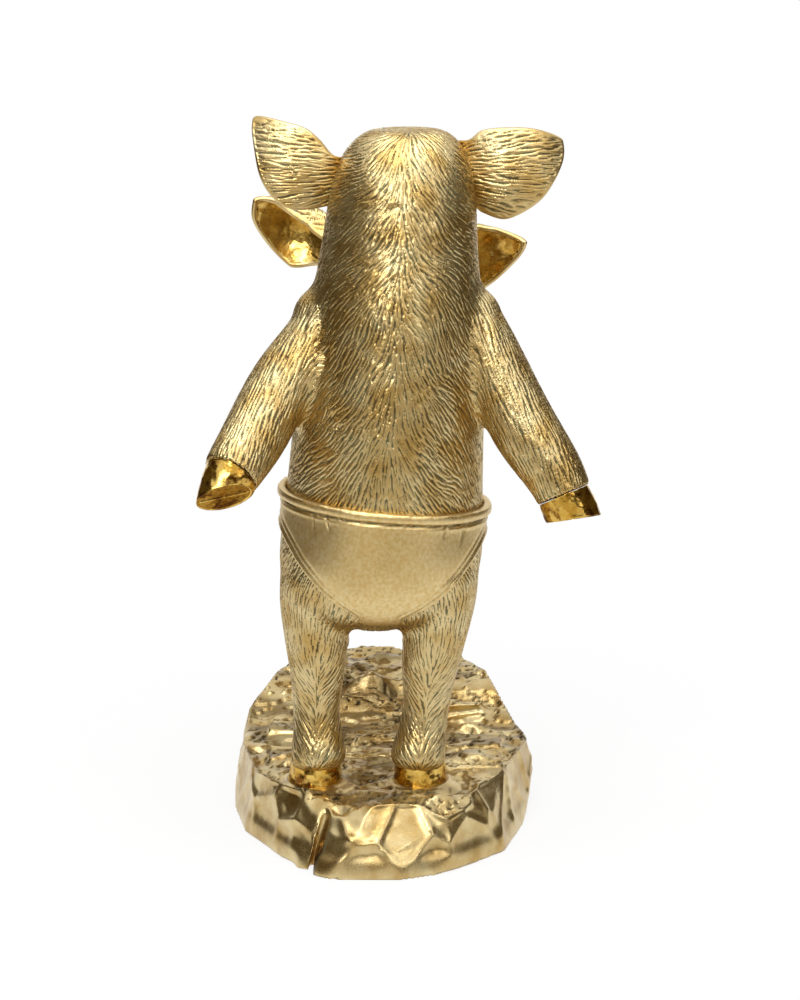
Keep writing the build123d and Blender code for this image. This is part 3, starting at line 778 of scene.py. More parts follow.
def bare_skin(name, pig, grain):
    """A pig's trunk, arms and hind legs as one smooth skin, its faces' castings, and how near a limb it is.

    The castings are joined into one surface of equal cells. Its creases where a limb leaves the trunk are
    relaxed into soft folds. Each face is split in four.
    """
    limbs = list(pig["limbs"])
    nodes = [f"{name}_torso"] + [f"{name}_{limb}" for limb in limbs]
    points, quads = joined_castings(nodes, grain)
    away = {node: distances(points, node) for node in nodes}
    trunk = away[nodes[0]]
    crease = np.zeros(len(points))
    shares = []
    for node in nodes[1:]:
        crease = np.maximum(crease, smooth_step(9.0, 1.0, np.maximum(trunk, away[node])))
        shares.append(smooth_step(7.0, 1.0, away[node]) * smooth_step(-1.0, 5.0, trunk))
    points = relaxed(points, quads, np.full(len(points), 0.5), 4)
    points = relaxed(points, quads, crease * 0.6, 60)
    labels = np.stack([away[node] for node in nodes], 1)[quads].mean(1).argmin(1)
    points, quads, shares = split_in_four(points, quads, shares)
    points = relaxed(points, quads, np.full(len(points), 0.5), 2)
    return points, quads, np.repeat(labels, 4), dict(zip(limbs, shares))


def furred(pig, points, quads, nearness, settings, grain):
    """The skin with its locks of hair, and how deep in a groove each point lies.

    Every point sinks along its normal by the fur's depth times how far the combed noise lies below its
    ridge. A lock is no finer than the cells can show.
    """
    normals = normals_of(points, quads)
    flow = fur_flow(pig, points, normals, nearness)
    width = max(settings.fur_width, 0.52 * grain)
    locks = combed_noise(points, flow, width, settings.fur_length, 11)
    locks -= averaged(locks, quads, 6)
    tufts = combed_noise(points, flow, width * 2.6, settings.fur_length * 1.5, 13)
    groove = smooth_step(0.5, -1.2, locks / locks.std() + tufts * 0.15)
    return points - normals * (settings.fur_depth * groove)[:, None], groove


def pig_skin(name, settings, grain):
    """One pig's skin with its face, creases and fur, divided into closed pieces.

    A limb is a piece of its own, and the trunk is cut into slices by height.
    """
    pig = PIGS[name]
    points, quads, labels, nearness = bare_skin(name, pig, grain)
    points = sculpted_face(pig, points, normals_of(points, quads))
    points = points + normals_of(points, quads) * creased(pig, points)[:, None]
    points, groove = furred(pig, points, quads, nearness, settings, grain)
    height = body_angle(pig, points)[0][quads].mean(1)
    pieces, low = [], -1.0
    for part, high in TRUNK_SLICES:
        pieces.append((f"torso_{part}", "torso", (labels == 0) & (height >= low) & (height < high)))
        low = high
    for i, limb in enumerate(pig["limbs"]):
        pieces.append((limb, limb, labels == i + 1))
    for part, node, chosen in pieces:
        if chosen.any():
            places, four, three, hollow = closed_part(points, quads[chosen], groove)
            title, nodes, rim = f"{name}_{part}_skin", [f"{name}_{node}"], three[:, :2]
            place_piece(title, places, [four, three], "fur gold paint", nodes, hollow, rim)


class PIGPAIR_OT_skins(bpy.types.Operator):
    """Models the furry skins of both pigs"""

    bl_idname = "pigpair.skins"
    bl_label = "Pig skins"

    def execute(self, context):
        settings = context.scene.pigpair_skin
        coarse = 1.0
        pig_skin("tall_pig", settings, settings.tall_grain * coarse)
        pig_skin("short_pig", settings, settings.short_grain * coarse)
        return {"FINISHED"}


# Surfaces from rings of points
def ring_surface(rings):
    """The points and faces of a closed surface through rings of points; both end rings run in to a pole."""
    count, around = rings.shape[:2]
    points = np.concatenate([rings.reshape(-1, 3), [rings[0].mean(0), rings[-1].mean(0)]])
    index = np.arange(count * around).reshape(count, around)
    turned = np.roll(index, -1, axis=1)
    quads = np.stack([index[:-1], turned[:-1], turned[1:], index[1:]], 2).reshape(-1, 4)
    size = count * around
    first = np.stack([turned[0], index[0], np.full(around, size)], 1)
    last = np.stack([index[-1], turned[-1], np.full(around, size + 1)], 1)
    corners = points[quads]
    flat = np.cross(corners[:, 2] - corners[:, 0], corners[:, 3] - corners[:, 1])
    if np.einsum("ij,ij->", corners[:, 0] - points.mean(0), flat) < 0:
        quads, first, last = quads[:, ::-1], first[:, ::-1], last[:, ::-1]
    return points, quads, np.concatenate([first, last])


def closed_curve(places, count):
    """Evenly spaced points on a closed smooth curve through the given places."""
    places = np.array(places, float)
    size = len(places)
    t = np.linspace(0, size, count * 8, endpoint=False)
    i, f = t.astype(int), (t % 1)[:, None]
    a, b, c, d = (places[(i + k) % size] for k in (-1, 0, 1, 2))
    curve = 0.5 * (2 * b + (c - a) * f + (2 * a - 5 * b + 4 * c - d) * f**2 + (3 * b - a - 3 * c + d) * f**3)
    step = np.linalg.norm(np.roll(curve, -1, axis=0) - curve, axis=1)
    run = np.concatenate([[0], np.cumsum(step)])
    wanted = np.linspace(0, run[-1], count, endpoint=False)
    closed = np.concatenate([curve, curve[:1]])
    return np.stack([np.interp(wanted, run, closed[:, k]) for k in range(2)], 1)


def grid_normals(grid):
    """Normals of a grid of points that closes along its second side."""
    down = np.gradient(grid, axis=0)
    turn = np.roll(grid, -1, axis=1) - np.roll(grid, 1, axis=1)
    normals = unit(np.cross(turn, down))
    normals[0] = unit(normals[1].mean(0))
    return normals


# Ears
# Outlines from the root out, as shares of the ear's length: out and up
EARS = {
    "tall_pig_left": {
        "origin": (9.1, -63.4, 291.0), "roll": 0.0, "out": -1, "behind": -1, "root": 29.0, "length": 42.0,
        "outline": [(-0.20, 0.20), (0.03, 0.26), (0.17, 0.41), (0.30, 0.515), (0.50, 0.58), (0.77, 0.63),
                    (0.82, 0.54), (0.79, 0.33), (0.73, 0.08), (0.63, -0.10), (0.50, -0.21), (0.35, -0.245),
                    (0.10, -0.22), (-0.20, -0.17)],
        "top": 6, "fold": 0.0, "lining": 0.86,
    },
    "tall_pig_right": {
        "origin": (9.1, -63.4, 291.0), "roll": 0.0, "out": 1, "behind": -1, "root": 29.0, "length": 42.0,
        "outline": [(-0.20, 0.33), (0.0, 0.41), (0.13, 0.50), (0.38, 0.525), (0.63, 0.51), (0.855, 0.436),
                    (0.905, 0.364), (0.895, 0.21), (0.805, 0.02), (0.68, -0.15), (0.50, -0.28),
                    (0.33, -0.345), (0.13, -0.285), (0.04, -0.23), (-0.20, -0.18)],
        "top": 6, "fold": 0.0, "lining": 0.86,
    },
    "short_pig_left": {
        "origin": (-1.6, 42.8, 247.8), "roll": -8.0, "out": 1, "behind": 1, "root": 22.6, "length": 44.0,
        "outline": [(-0.20, 0.25), (0.11, 0.38), (0.466, 0.443), (0.659, 0.428), (0.905, 0.387),
                    (0.95, 0.318), (0.868, 0.134), (0.641, -0.139), (0.40, -0.30), (0.12, -0.28),
                    (-0.20, -0.18)],
        "top": 5, "fold": 3.0, "lining": 0.93,
    },
    "short_pig_right": {
        "origin": (-1.6, 42.8, 247.8), "roll": -8.0, "out": -1, "behind": 1, "root": 22.6, "length": 44.0,
        "outline": [(-0.20, 0.22), (0.086, 0.332), (0.286, 0.416), (0.622, 0.441), (0.807, 0.416),
                    (0.84, 0.36), (0.817, 0.178), (0.669, -0.01), (0.441, -0.198), (0.338, -0.227),
                    (0.125, -0.174), (-0.20, -0.12)],
        "top": 5, "fold": 13.0, "lining": 0.93,
    },
}
EAR_MIDDLE = (0.42, 0.10)
EAR_WALL = 2.6
# The fold of an upper edge: radius of its roll, how far it turns, and its length as a share of the ear's
FOLD_RADIUS = 1.7
FOLD_TURN = 2.6
FOLD_LENGTH = 0.62
# Half width, length and depth of the locks on an ear's back
EAR_LOCKS = (0.62, 9.0, 0.5)
# Half the lining's wall, and its clearance from the ear
LINING_HALF_WALL = 0.25
LINING_CLEARANCE = 0.1
# Points round an ear and rings from its middle to its rim, by pig, and the same of any lining
EAR_MESH = {"tall": (280, 46), "short": (200, 34)}
LINING_MESH = (160, 26)


def ear_sheet(ear, shares, sunk, count):
    """Points of an ear's sheet at shares of the way from its middle to its outline, a row for each share.

    In the ear's own plane a point lies on the straight line from the middle to the outline. It lies as far
    behind that plane as a ball of the ear's cup would, less the depth that the sheet is sunk. Where the
    upper edge folds over, the part above the fold runs round a small roll and hangs down in front.
    """
    length, middle = ear["length"], np.array(EAR_MIDDLE)
    outline = np.array(ear["outline"])
    top = outline[: ear["top"]]
    tip = top[-1, 0]
    raised = outline.copy()
    over = ear["fold"] * np.clip((tip - outline[:, 0]) / FOLD_LENGTH, 0, 1) ** 1.1 / length
    upper = outline[:, 1] > np.interp(outline[:, 0], top[:, 0], top[:, 1]) - 0.02
    raised[:, 1] += np.where(upper & (np.arange(len(outline)) < ear["top"]), over, 0)
    edge = closed_curve(raised, count)
    flat = (middle + (edge - middle) * shares[:, None, None]) * length
    crest = np.interp(flat[..., 0] / length, top[:, 0], top[:, 1]) * length - FOLD_RADIUS
    past = np.maximum(flat[..., 1] - crest, 0) if ear["fold"] else np.zeros(flat.shape[:2])
    low = np.minimum(flat[..., 1], crest) if ear["fold"] else flat[..., 1]
    turn = np.minimum(past / FOLD_RADIUS, FOLD_TURN)
    rest = past - turn * FOLD_RADIUS
    high = low + FOLD_RADIUS * np.sin(turn) + rest * np.cos(FOLD_TURN)
    ahead = FOLD_RADIUS * (1 - np.cos(turn)) + rest * np.sin(FOLD_TURN)
    reach = np.hypot(flat[..., 0] - middle[0] * length, low - middle[1] * length)
    ball = length * 0.85
    depth = np.sqrt(np.maximum((ball - sunk) ** 2 - reach**2, 1)) - ball - ahead
    roll = math.radians(ear["roll"])
    across = np.array([math.cos(roll), 0, math.sin(roll)])
    up = np.array([-math.sin(roll), 0, math.cos(roll)])
    out = ear["out"] * (ear["root"] + flat[..., 0])
    sheet = np.array(ear["origin"]) + out[..., None] * across + high[..., None] * up
    sheet[..., 1] += depth * ear["behind"]
    return sheet


def ear_rings(ear, sheet, half):
    """Rings of a closed sheet: its back from the middle out, round the rim, and its front to the middle."""
    normals = grid_normals(sheet)
    if (normals[1:, :, 1].mean() > 0) != (ear["behind"] > 0):
        normals = -normals
    outward = unit(sheet[-1] - sheet[-2])
    rim = []
    for bend in (0.5, 1.1, 1.6, 2.1, 2.6):
        rim.append(sheet[-1] + half * (normals[-1] * math.cos(bend) + outward * math.sin(bend)))
    return np.concatenate([sheet[1:] + half * normals[1:], rim, sheet[:0:-1] - half * normals[:0:-1]])


def build_ear(name, ear):
    """A cupped ear with combed fur on its back and a plain rounded rim, and the bright lining in its cup."""
    node = f"{name}_ear"
    around, rows = EAR_MESH[name.split("_")[0]]
    sheet = ear_sheet(ear, np.linspace(0, 1, rows) ** 0.8, EAR_WALL / 2, around)
    rings = ear_rings(ear, sheet, EAR_WALL / 2)
    points, quads, ends = ring_surface(rings)
    normals = normals_of(points, quads)
    way = np.zeros_like(points)
    way[:, 0] = ear["out"]
    way[:, 2] = 0.012 * (points[:, 2] - ear["origin"][2] - 4)
    width, length, depth = EAR_LOCKS
    locks = combed_noise(points, laid_flat(way, normals), width, length, 21)
    locks = locks - averaged(locks, quads, 6)
    row = np.arange(len(rings) * around) // around
    back = np.zeros(len(points))
    back[: len(row)] = smooth_step(rows - 2.5, rows - 6.0, row)
    groove = smooth_step(0.5, -1.2, locks / locks.std()) * back
    points = points - normals * (depth * groove)[:, None]
    place_piece(f"{node}_shell", points, [quads, ends], "fur gold paint", [node], groove)

    around, rows = LINING_MESH
    shares = np.linspace(0, ear["lining"], rows)
    cup = ear_sheet(dict(ear, fold=0.0), shares, EAR_WALL + LINING_CLEARANCE, around)
    points, quads, ends = ring_surface(ear_rings(ear, cup, LINING_HALF_WALL))
    marks = value_noise(points, 3.4, 31) + 0.3 * value_noise(points, 1.1, 32)
    beaten = bpy.context.scene.pigpair_details.beaten_depth * marks
    points = points - normals_of(points, quads) * beaten[:, None]
    place_piece(f"{node}_lining_plate", points, [quads, ends], "lining gold plate", [f"{node}_lining"])


class PIGPAIR_OT_ears(bpy.types.Operator):
    """Models the four ears and their bright linings"""

    bl_idname = "pigpair.ears"
    bl_label = "Ears"

    def execute(self, context):
        for name, ear in EARS.items():
            build_ear(name, ear)
        return {"FINISHED"}


# Hooves, snouts and eyes
# Hind hooves: middle of the sole, half width and half depth at the top, height, and the side of the toe
HIND_HOOVES = {
    "tall_pig_left_hind_hoof": ((-29.5, -65.8, 28.5), 11.2, 11.9, 10.6, 1),
    "tall_pig_right_hind_hoof": ((16.5, -65.8, 28.5), 11.2, 11.9, 10.6, 1),
    "short_pig_left_hind_hoof": ((19.0, 76.6, 43.0), 8.8, 9.3, 8.3, -1),
    "short_pig_right_hind_hoof": ((-27.0, 76.6, 43.0), 8.8, 9.3, 8.3, -1),
}


def build_hind_hoof(name, place, half_width, half_depth, height, toe):
    """A low hoof: an oval that widens to the ground, with an uneven upper rim and a cleft in the toe.

    Each level is an oval. Its radius grows towards the ground, rolls in over the last tenth at both ends,
    and is drawn in round the middle of the toe by a narrow bell curve.
    """
    turn = np.linspace(0, 2 * np.pi, 192, endpoint=False)
    up = np.concatenate([[0.0, 0.0], np.linspace(0.02, 1.0, 26), [1.0, 1.0]])[:, None]
    inset = np.concatenate([[0.55, 0.97], 1 - 0.03 * np.linspace(1, 0, 26) ** 8, [0.985, 0.6]])[:, None]
    inset = inset - 0.05 * np.clip((up - 0.86) / 0.14, 0, 1) ** 2
    flare = 1 + (1 - up) * 0.09
    cleft = 0.16 * bell((turn - toe * np.pi / 2 + np.pi) % (2 * np.pi) - np.pi, 0.07)
    radius = inset * flare * (1 - cleft * (1 - 0.4 * up))
    x = place[0] + half_width * radius * np.cos(turn)
    y = place[1] + half_depth * radius * np.sin(turn)
    uneven = 0.35 * np.sin(turn * 5 + place[0]) + 0.25 * np.sin(turn * 11 + 1)
    z = place[2] + height * up + uneven * smooth_step(0.55, 1.0, up) - 0.3
    points, quads, ends = ring_surface(np.stack(np.broadcast_arrays(x, y, z), 2))
    dents = bpy.context.scene.pigpair_details.dent_depth * value_noise(points, 2.2, 41)
    points = points - normals_of(points, quads) * dents[:, None]
    place_piece(f"{name}_shell", points, [quads, ends], "polished gold plate", [name])


# Fore hooves: wrist middle, wrist direction, wrist radius, sole middle, sole direction, sole half sizes
FORE_HOOVES = {
    "tall_pig_left_fore_hoof": ((-63.0, -103.2, 173.6), (-0.434, -0.616, -0.658), 11.6,
                                (-65.4, -109.2, 165.3), (0.245, -0.65, -0.72), 12.44, 9.72),
    "tall_pig_right_fore_hoof": ((77.1, -85.7, 161.7), (0.384, -0.218, -0.897), 11.3,
                                 (81.4, -87.1, 151.4), (0.147, -0.20, -0.967), 12.0, 9.44),
    "short_pig_left_fore_hoof": ((14.1, -10.6, 199.8), (-0.376, -0.847, 0.376), 8.04,
                                 (12.0, -23.9, 203.3), (-0.16, -0.97, 0.10), 8.7, 7.14),
    "short_pig_right_fore_hoof": ((-16.3, -12.0, 192.7), (0.348, -0.870, 0.348), 8.04,
                                  (-12.8, -25.3, 197.7), (0.20, -0.97, 0.08), 8.7, 7.14),
}


def plane_axes(way):
    """Two directions square to a way, the first as near to +X as it can be."""
    way = unit(np.array(way, float))
    across = unit(np.array([1.0, 0, 0]) - way * way[0])
    return across, np.cross(way, across), way


def oval(middle, half_length, half_width, axes, turn):
    """A ring of points about a middle, with its half sizes along two axes."""
    along, side = half_length * np.cos(turn), half_width * np.sin(turn)
    return middle + along[:, None] * axes[0] + side[:, None] * axes[1]


def build_fore_hoof(name, wrist, wrist_way, wrist_radius, sole, sole_way, half_length, half_width):
    """A hoof from the wrist's circle to the oval sole, bulging a little, with a cleft along the flat sole.

    A ring's middle, axes and half sizes go evenly from the wrist's to the sole's. The wall swells by a sine
    of the way along. The sole is an oval sunk a little inside its rim and parted by a narrow groove.
    """
    around, inner_rows, wall_rows, sole_rows = 224, 2, 30, 34
    cleft_depth, cleft_half_width, rim_depth = 1.3, 0.42, 0.35
    turn = np.linspace(0, 2 * np.pi, around, endpoint=False)
    wrist_axes, sole_axes = plane_axes(wrist_way), plane_axes(sole_way)
    wrist, sole = np.array(wrist), np.array(sole)
    first = oval(wrist, wrist_radius, wrist_radius, wrist_axes, turn)
    last = oval(sole, half_length, half_width, sole_axes, turn)
    rows = [wrist + (first - wrist) * share for share in (0.5, 0.93)]
    for t in np.linspace(0, 1, wall_rows):
        swell = 1 + 0.035 * math.sin(math.pi * t) - 0.03 * (t > 0.97)
        middle = wrist * (1 - t) + sole * t
        rows.append(middle + (first * (1 - t) + last * t - middle) * swell)
    for share in np.concatenate([[0.965, 0.94, 0.915], np.linspace(0.89, 0.06, sole_rows)]):
        along, side = half_length * share * np.cos(turn), half_width * share * np.sin(turn)
        cleft = cleft_depth * bell(side, cleft_half_width)
        cleft = cleft * smooth_step(half_length * 0.86, half_length * 0.7, np.abs(along))
        sunk = rim_depth * smooth_step(0.95, 0.90, share) + cleft
        ring = oval(sole, half_length * share, half_width * share, sole_axes, turn)
        rows.append(ring - sunk[:, None] * sole_axes[2])
    points, quads, ends = ring_surface(np.array(rows))
    number = np.arange(len(points))
    on_wall = number < (inner_rows + wall_rows) * around
    dents = value_noise(points, 2.6, 43) * on_wall + 0.25 * value_noise(points, 1.1, 44)
    dents = bpy.context.scene.pigpair_details.dent_depth * dents
    points = points - normals_of(points, quads) * dents[:, None]
    along, side = (points - sole) @ sole_axes[0], (points - sole) @ sole_axes[1]
    hollow = ~on_wall & (np.abs(side) < 0.5) & (np.abs(along) < half_length * 0.8)
    place_piece(f"{name}_shell", points, [quads, ends], "polished gold plate", [name], hollow)


def build_snout_disc(name, pig):
    """The round end of the snout: a rolled wall and a flat front with two nostrils pressed into it.

    The front is a set of ovals about its middle. Each nostril is a dent whose depth falls off steeply with
    the distance from the nostril's middle.
    """
    axes = face_frame(pig)[1]
    scale, snout = pig["scale"], np.array(pig["snout"])
    turn = np.linspace(0, 2 * np.pi, 192, endpoint=False)
    half_width, half_height, thick, dent_depth = 17.1 * scale, 15.3 * scale, 3.5 * scale, 1.6 * scale
    levels = [(0.6, 1.0), (0.985, 1.0)]
    levels += [(1 - 0.012 * (2 * t - 1) ** 2, 1 - t) for t in np.linspace(0, 1, 12)]
    levels += [(share, 0.0) for share in np.linspace(0.97, 0.05, 30)]
    rings = []
    for share, behind in levels:
        x, y = half_width * share * np.cos(turn), half_height * share * np.sin(turn)
        dent = np.zeros(len(turn))
        for side in (-1, 1):
            away = np.hypot((x - side * 6 * scale) / (2.3 * scale), y / (3.5 * scale))
            dent += np.exp(-(away**4))
        sunk = thick * behind + (dent_depth * dent + 0.02) * (behind == 0)
        rings.append(snout + np.stack([x, y, -sunk], 1) @ axes)
    points, quads, ends = ring_surface(np.array(rings))
    node = f"{name}_snout_disc"
    place_piece(f"{node}_shell", points, [quads, ends], "polished gold plate", [node])


def build_eyes(name, pig):
    """Eyeballs in their sockets, each with a shallow ring round the pupil.

    An eyeball is a surface of revolution about the line out of the cheek: a half circle whose radius dips
    by a narrow bell curve at the ring.
    """
    skull, rows = face_frame(pig)
    scale = pig["scale"]
    turn = np.linspace(0, 2 * np.pi, 72, endpoint=False)
    bow = np.linspace(0.04, math.pi - 0.04, 36)
    radius = scale * (EYE_RADIUS - 0.22 * bell(bow - 0.75, 0.09) - 0.3 * bell(bow, 0.3))
    for side, label in ((-1, "left"), (1, "right")):
        middle = skull + np.array([side * (EYE[0] - 0.8), EYE[1] - 0.4, EYE[2]]) * scale @ rows
        axes = plane_axes(np.array([side * EYE[0], EYE[1], 6.0]) @ rows)
        rings = []
        for reach, angle in zip(radius, bow):
            wide = reach * math.sin(angle)
            rings.append(oval(middle + reach * math.cos(angle) * axes[2], wide, wide, axes, turn))
        points, quads, ends = ring_surface(np.array(rings))
        place_piece(f"{name}_{label}_eye", points, [quads, ends], "polished gold plate", [f"{name}_torso"])


class PIGPAIR_OT_bright(bpy.types.Operator):
    """Models the bright pieces: hooves, snout discs and eyes"""

    bl_idname = "pigpair.bright"
    bl_label = "Hooves, snouts and eyes"

    def execute(self, context):
        for name, values in HIND_HOOVES.items():
            build_hind_hoof(name, *values)
        for name, values in FORE_HOOVES.items():
            build_fore_hoof(name, *values)
        for name, pig in PIGS.items():
            build_snout_disc(name, pig)
            build_eyes(name, pig)
        return {"FINISHED"}


# Briefs
# Cell sizes of the cloth, in millimetres
CLOTH_GRAINS = {"tall_pig": 0.8, "short_pig": 0.95}
# The tall pig's sizes that the cloth's lines are shares of, in millimetres
TRUNK_HALF_WIDTH = 42.5
PIG_HEIGHT = 285
# Edge of the cloth at a leg, from the hip in: shares of the trunk's half width and of the pig's height
LEG_LINE = [(1.10, 0.412), (1.02, 0.395), (0.84, 0.360), (0.62, 0.325), (0.42, 0.302), (0.26, 0.286),
            (0.20, 0.266), (0.18, 0.245)]
WAIST_TILT = math.radians(5.1)
# How high the band rises, and how deep the line under it and the seams are
BAND_HEIGHT = 0.1
BAND_FOOT = 0.9
SEAM_DEPTH = 0.4
# Pleats under the waistband: angle from the middle of the back, drift on the way down, and length
PLEATS = [(-0.80, 0.25, 9.0), (-0.62, 0.45, 6.0), (0.95, -0.35, 8.0), (0.70, -0.2, 5.0), (1.9, 0.3, 9.0),
          (-2.0, -0.3, 9.0), (2.7, 0.2, 7.0)]


def line_distance(points, line):
    """How far points lie from an open polyline."""
    best = np.full(len(points), 1e9)
    for a, b in zip(line[:-1], line[1:]):
        way = b - a
        t = np.clip((points - a) @ way / (way @ way), 0, 1)
        best = np.minimum(best, np.linalg.norm(points - a - t[:, None] * way, axis=1))
    return best


def rounded_gusset(points, quads, pig):
    """The cloth between the legs, relaxed and drawn up at its edges into a round bottom."""
    scale, foot, rise = pig["scale"], np.array(pig["foot"]), np.array(pig["rise"])
    low = smooth_step(0.315, 0.285, ((points - foot) @ rise) / (rise @ rise))
    points = relaxed(points, quads, 0.6 * low, 90)
    under = foot + rise * 0.252
    off = ((points[:, 0] - under[0]) / (8.6 * scale)) ** 2 + ((points[:, 1] - under[1]) / (17 * scale)) ** 2
    lift = 8.0 * scale * (1 - np.sqrt(np.clip(1 - off, 0, 1)))
    bottom, top = foot[2] + 69.8 * scale, foot[2] + 79.0 * scale
    points[:, 2] += lift * np.clip((top - points[:, 2]) / (top - bottom), 0, 1)
    return points


def leg_distance(pig, points):
    """How far points lie from the cloth's two leg lines, as seen from the back, at the tall pig's scale."""
    scale, foot, rise = pig["scale"], pig["foot"], pig["rise"]
    across = (points[:, 0] - (foot[0] + rise[0] * 0.335)) * pig["facing"] / scale
    flat = np.stack([across, (points[:, 2] - foot[2]) / scale], 1)
    leg = np.full(len(points), 1e9)
    for side in (-1, 1):
        line = []
        for wide, high in LEG_LINE:
            place = side * TRUNK_HALF_WIDTH * wide
            line.append((place, PIG_HEIGHT * high - place * math.tan(WAIST_TILT)))
        leg = np.minimum(leg, line_distance(flat, np.array(line)))
    return leg


def sewn(pig, points, normals):
    """How far the cloth rises or sinks at its rolls, pipes and pleats, and where dark wash stays in them.

    Heights are measured from the tilted waist plane and distances from the leg lines. Each roll, pipe,
    seam and pleat is a bell curve of one of them. A broad band of painted shade below the waistband, darkest
    at the middle of the back, goes into the same map as the wash.
    """
    scale, foot, rise = pig["scale"], np.array(pig["foot"]), np.array(pig["rise"])
    tilt = np.array([math.sin(WAIST_TILT) * pig["facing"], 0, math.cos(WAIST_TILT)])
    above = (points - foot - rise * 0.447) @ tilt / scale
    share, angle = body_angle(pig, points)
    outer = smooth_step(0.1, 0.4, (unit(points - foot - share[:, None] * rise) * normals).sum(1))
    leg = leg_distance(pig, points)
    under = bell(above + 3.1, 0.55)
    second = bell(above + 4.4, 0.8) * (0.35 + 0.65 * smooth_step(0.4, 1.2, np.abs(angle)))
    seam = bell(leg - 1.9, 0.4) + 0.8 * bell(leg - 3.9, 0.4)
    cloth = smooth_step(-2.5, -5.0, above)
    pleat = np.zeros(len(points))
    for turn, drift, reach in PLEATS:
        off = (angle - turn + drift * (above + 5) / 40 + np.pi) % (2 * np.pi) - np.pi
        pleat += bell(off * 40, 0.8) * smooth_step(-5 - reach, -5, above) * cloth
    details = bpy.context.scene.pigpair_details
    lift = BAND_HEIGHT * bell(above, 1.6) - BAND_FOOT * under
    lift += details.roll_height * second - details.pleat_depth * pleat
    lift += (details.pipe_height * bell(leg - 0.9, 0.6) - SEAM_DEPTH * seam) * cloth
    lift -= 0.5 * (value_noise(points, 11.0, 51) - 0.5)
    # painted shade: a broad darker band below the waistband, strongest at the middle of the back
    painted_shade_band = 0.16 * bell(above + 9, 5.0) * smooth_step(1.3, 0.6, np.abs(angle))
    wash_and_shade = np.clip(under + 0.8 * seam * cloth + 0.6 * pleat + painted_shade_band, 0, 1)
    return lift * outer * scale, wash_and_shade * outer


def build_briefs(name, pig, grain):
    """The cloth: its casting as one skin with a round bottom, rolled waistband, piped edges and pleats."""
    node = f"{name}_briefs"
    points, quads = joined_castings([node], grain)
    points = relaxed(points, quads, np.full(len(points), 0.5), 3)
    points = rounded_gusset(points, quads, pig)
    normals = normals_of(points, quads)
    lift, wash_and_shade = sewn(pig, points, normals)
    points = points + normals * lift[:, None]
    # the cloth's groove values hold the wash and the painted shade below the waistband
    place_piece(f"{node}_cloth", points, [quads], "satin gold paint", [node], wash_and_shade)


class PIGPAIR_OT_briefs(bpy.types.Operator):
    """Models both pairs of briefs"""

    bl_idname = "pigpair.briefs"
    bl_label = "Briefs"

    def execute(self, context):
        coarse = 1.0
        for name, pig in PIGS.items():
            build_briefs(name, pig, CLOTH_GRAINS[name] * coarse)
        return {"FINISHED"}


# Rock
# Cell size of the stone, in millimetres
ROCK_GRAIN = 1.0
# Strata on the rock's top: width and length of the noise that shapes them, and the spacing and reach of the
# rings round a hoof
LAYER_WIDTH = 6.5
LAYER_LENGTH = 24.0
RING_SPACING = 4.6
RING_REACH = 9.0
# How far the foot's edge is drawn down over the felt, and how high over the ground it stays
SKIRT_DROP = 2.4
SKIRT_HEIGHT = 0.12
# The upright crack in the front of the rock: its middle, half width in front, front end, back end and how
# far to each side the stone stretches when the crack is pinched
CRACK = (-26.0, 6.5, -119.0, -93.0, 16.0)


def closed_crack(points):
    """The front of the rock with its wedge-shaped crack pinched to a narrow, slanting one.

    At each depth the walls move in to a small share of their spacing, and the stone beside them stretches
    evenly as far as the reach. The whole strip leans to the right with height.
    """
    middle, half, front, back, reach = CRACK
    off = points[:, 0] - middle
    wall = half * np.clip((back - points[:, 1]) / (back - front), 0, 1)
    slim = 0.55 * np.minimum(1, wall / 2)
    pinched = slim + np.maximum(np.abs(off) - wall, 0) * (reach - slim) / (reach - wall)
    lean = 0.3 * (points[:, 2] - 18) * smooth_step(reach, reach * 0.3, np.abs(off))
    near = (np.abs(off) < reach) & (points[:, 1] < back + 6)
    lean *= smooth_step(back + 6, back - 6, points[:, 1])
    moved = points.copy()
    moved[:, 0] = np.where(near, middle + np.sign(off) * pinched + lean, points[:, 0])
    return moved


# Middles of the chipped facets that face the camera, and how deep each is scooped
FACETS = [
    ((-11, -108, 25), 1.6), ((12, -112, 17), 2.2), ((-39, -104, 28), 1.2), ((-51, -92, 30), 2.4),
    ((-21, -110, 20), 2.0), ((-7, -110, 4), 1.6), ((40, -100, 12), 1.0), ((44, -90, 31), 2.0),
    ((52, -70, 26), 1.6), ((62, -60, 14), 2.2), ((-61, -60, 32), 1.6), ((-63, -66, 12), 2.0),
    ((-46, -98, 8), 1.8), ((22, -110, 6), 1.4), ((32, -104, 24), 1.6), ((62, -30, 24), 2.0),
]


def scooped(points):
    """How deep the rock's side lies under its casting: flat chips that meet in crisp ridges.

    Every point belongs to the nearest facet's middle. The depth is that facet's own, reached by an
    exponential rise with the distance past the border with the next facet. The sides and the back have
    two rows of facets that are drawn at random.
    """
    draw = np.random.default_rng(71)
    middles, depths = [list(middle) for middle, _ in FACETS], [depth for _, depth in FACETS]
    for k in range(22):
        bearing = math.radians(-20 + 220 * (k // 2 + draw.uniform(-0.3, 0.3)) / 10)
        high = 10 + 18 * (k % 2) + draw.uniform(-4, 4)
        middles.append([64 * math.cos(bearing), 110 * math.sin(bearing), high])
        depths.append(draw.uniform(0.6, 1.7))
    bent = points + 2.0 * (value_noise(points, 14.0, 72) - 0.5)[:, None]
    reach = np.linalg.norm(bent[:, None].astype(np.float32) - np.array(middles, np.float32)[None], axis=2)
    order = np.argpartition(reach, 1, axis=1)[:, :2]
    first, second = np.take_along_axis(reach, order, 1).T
    return np.array(depths)[order[:, 0]] * (1 - np.exp(-(second - first) / 2.6))


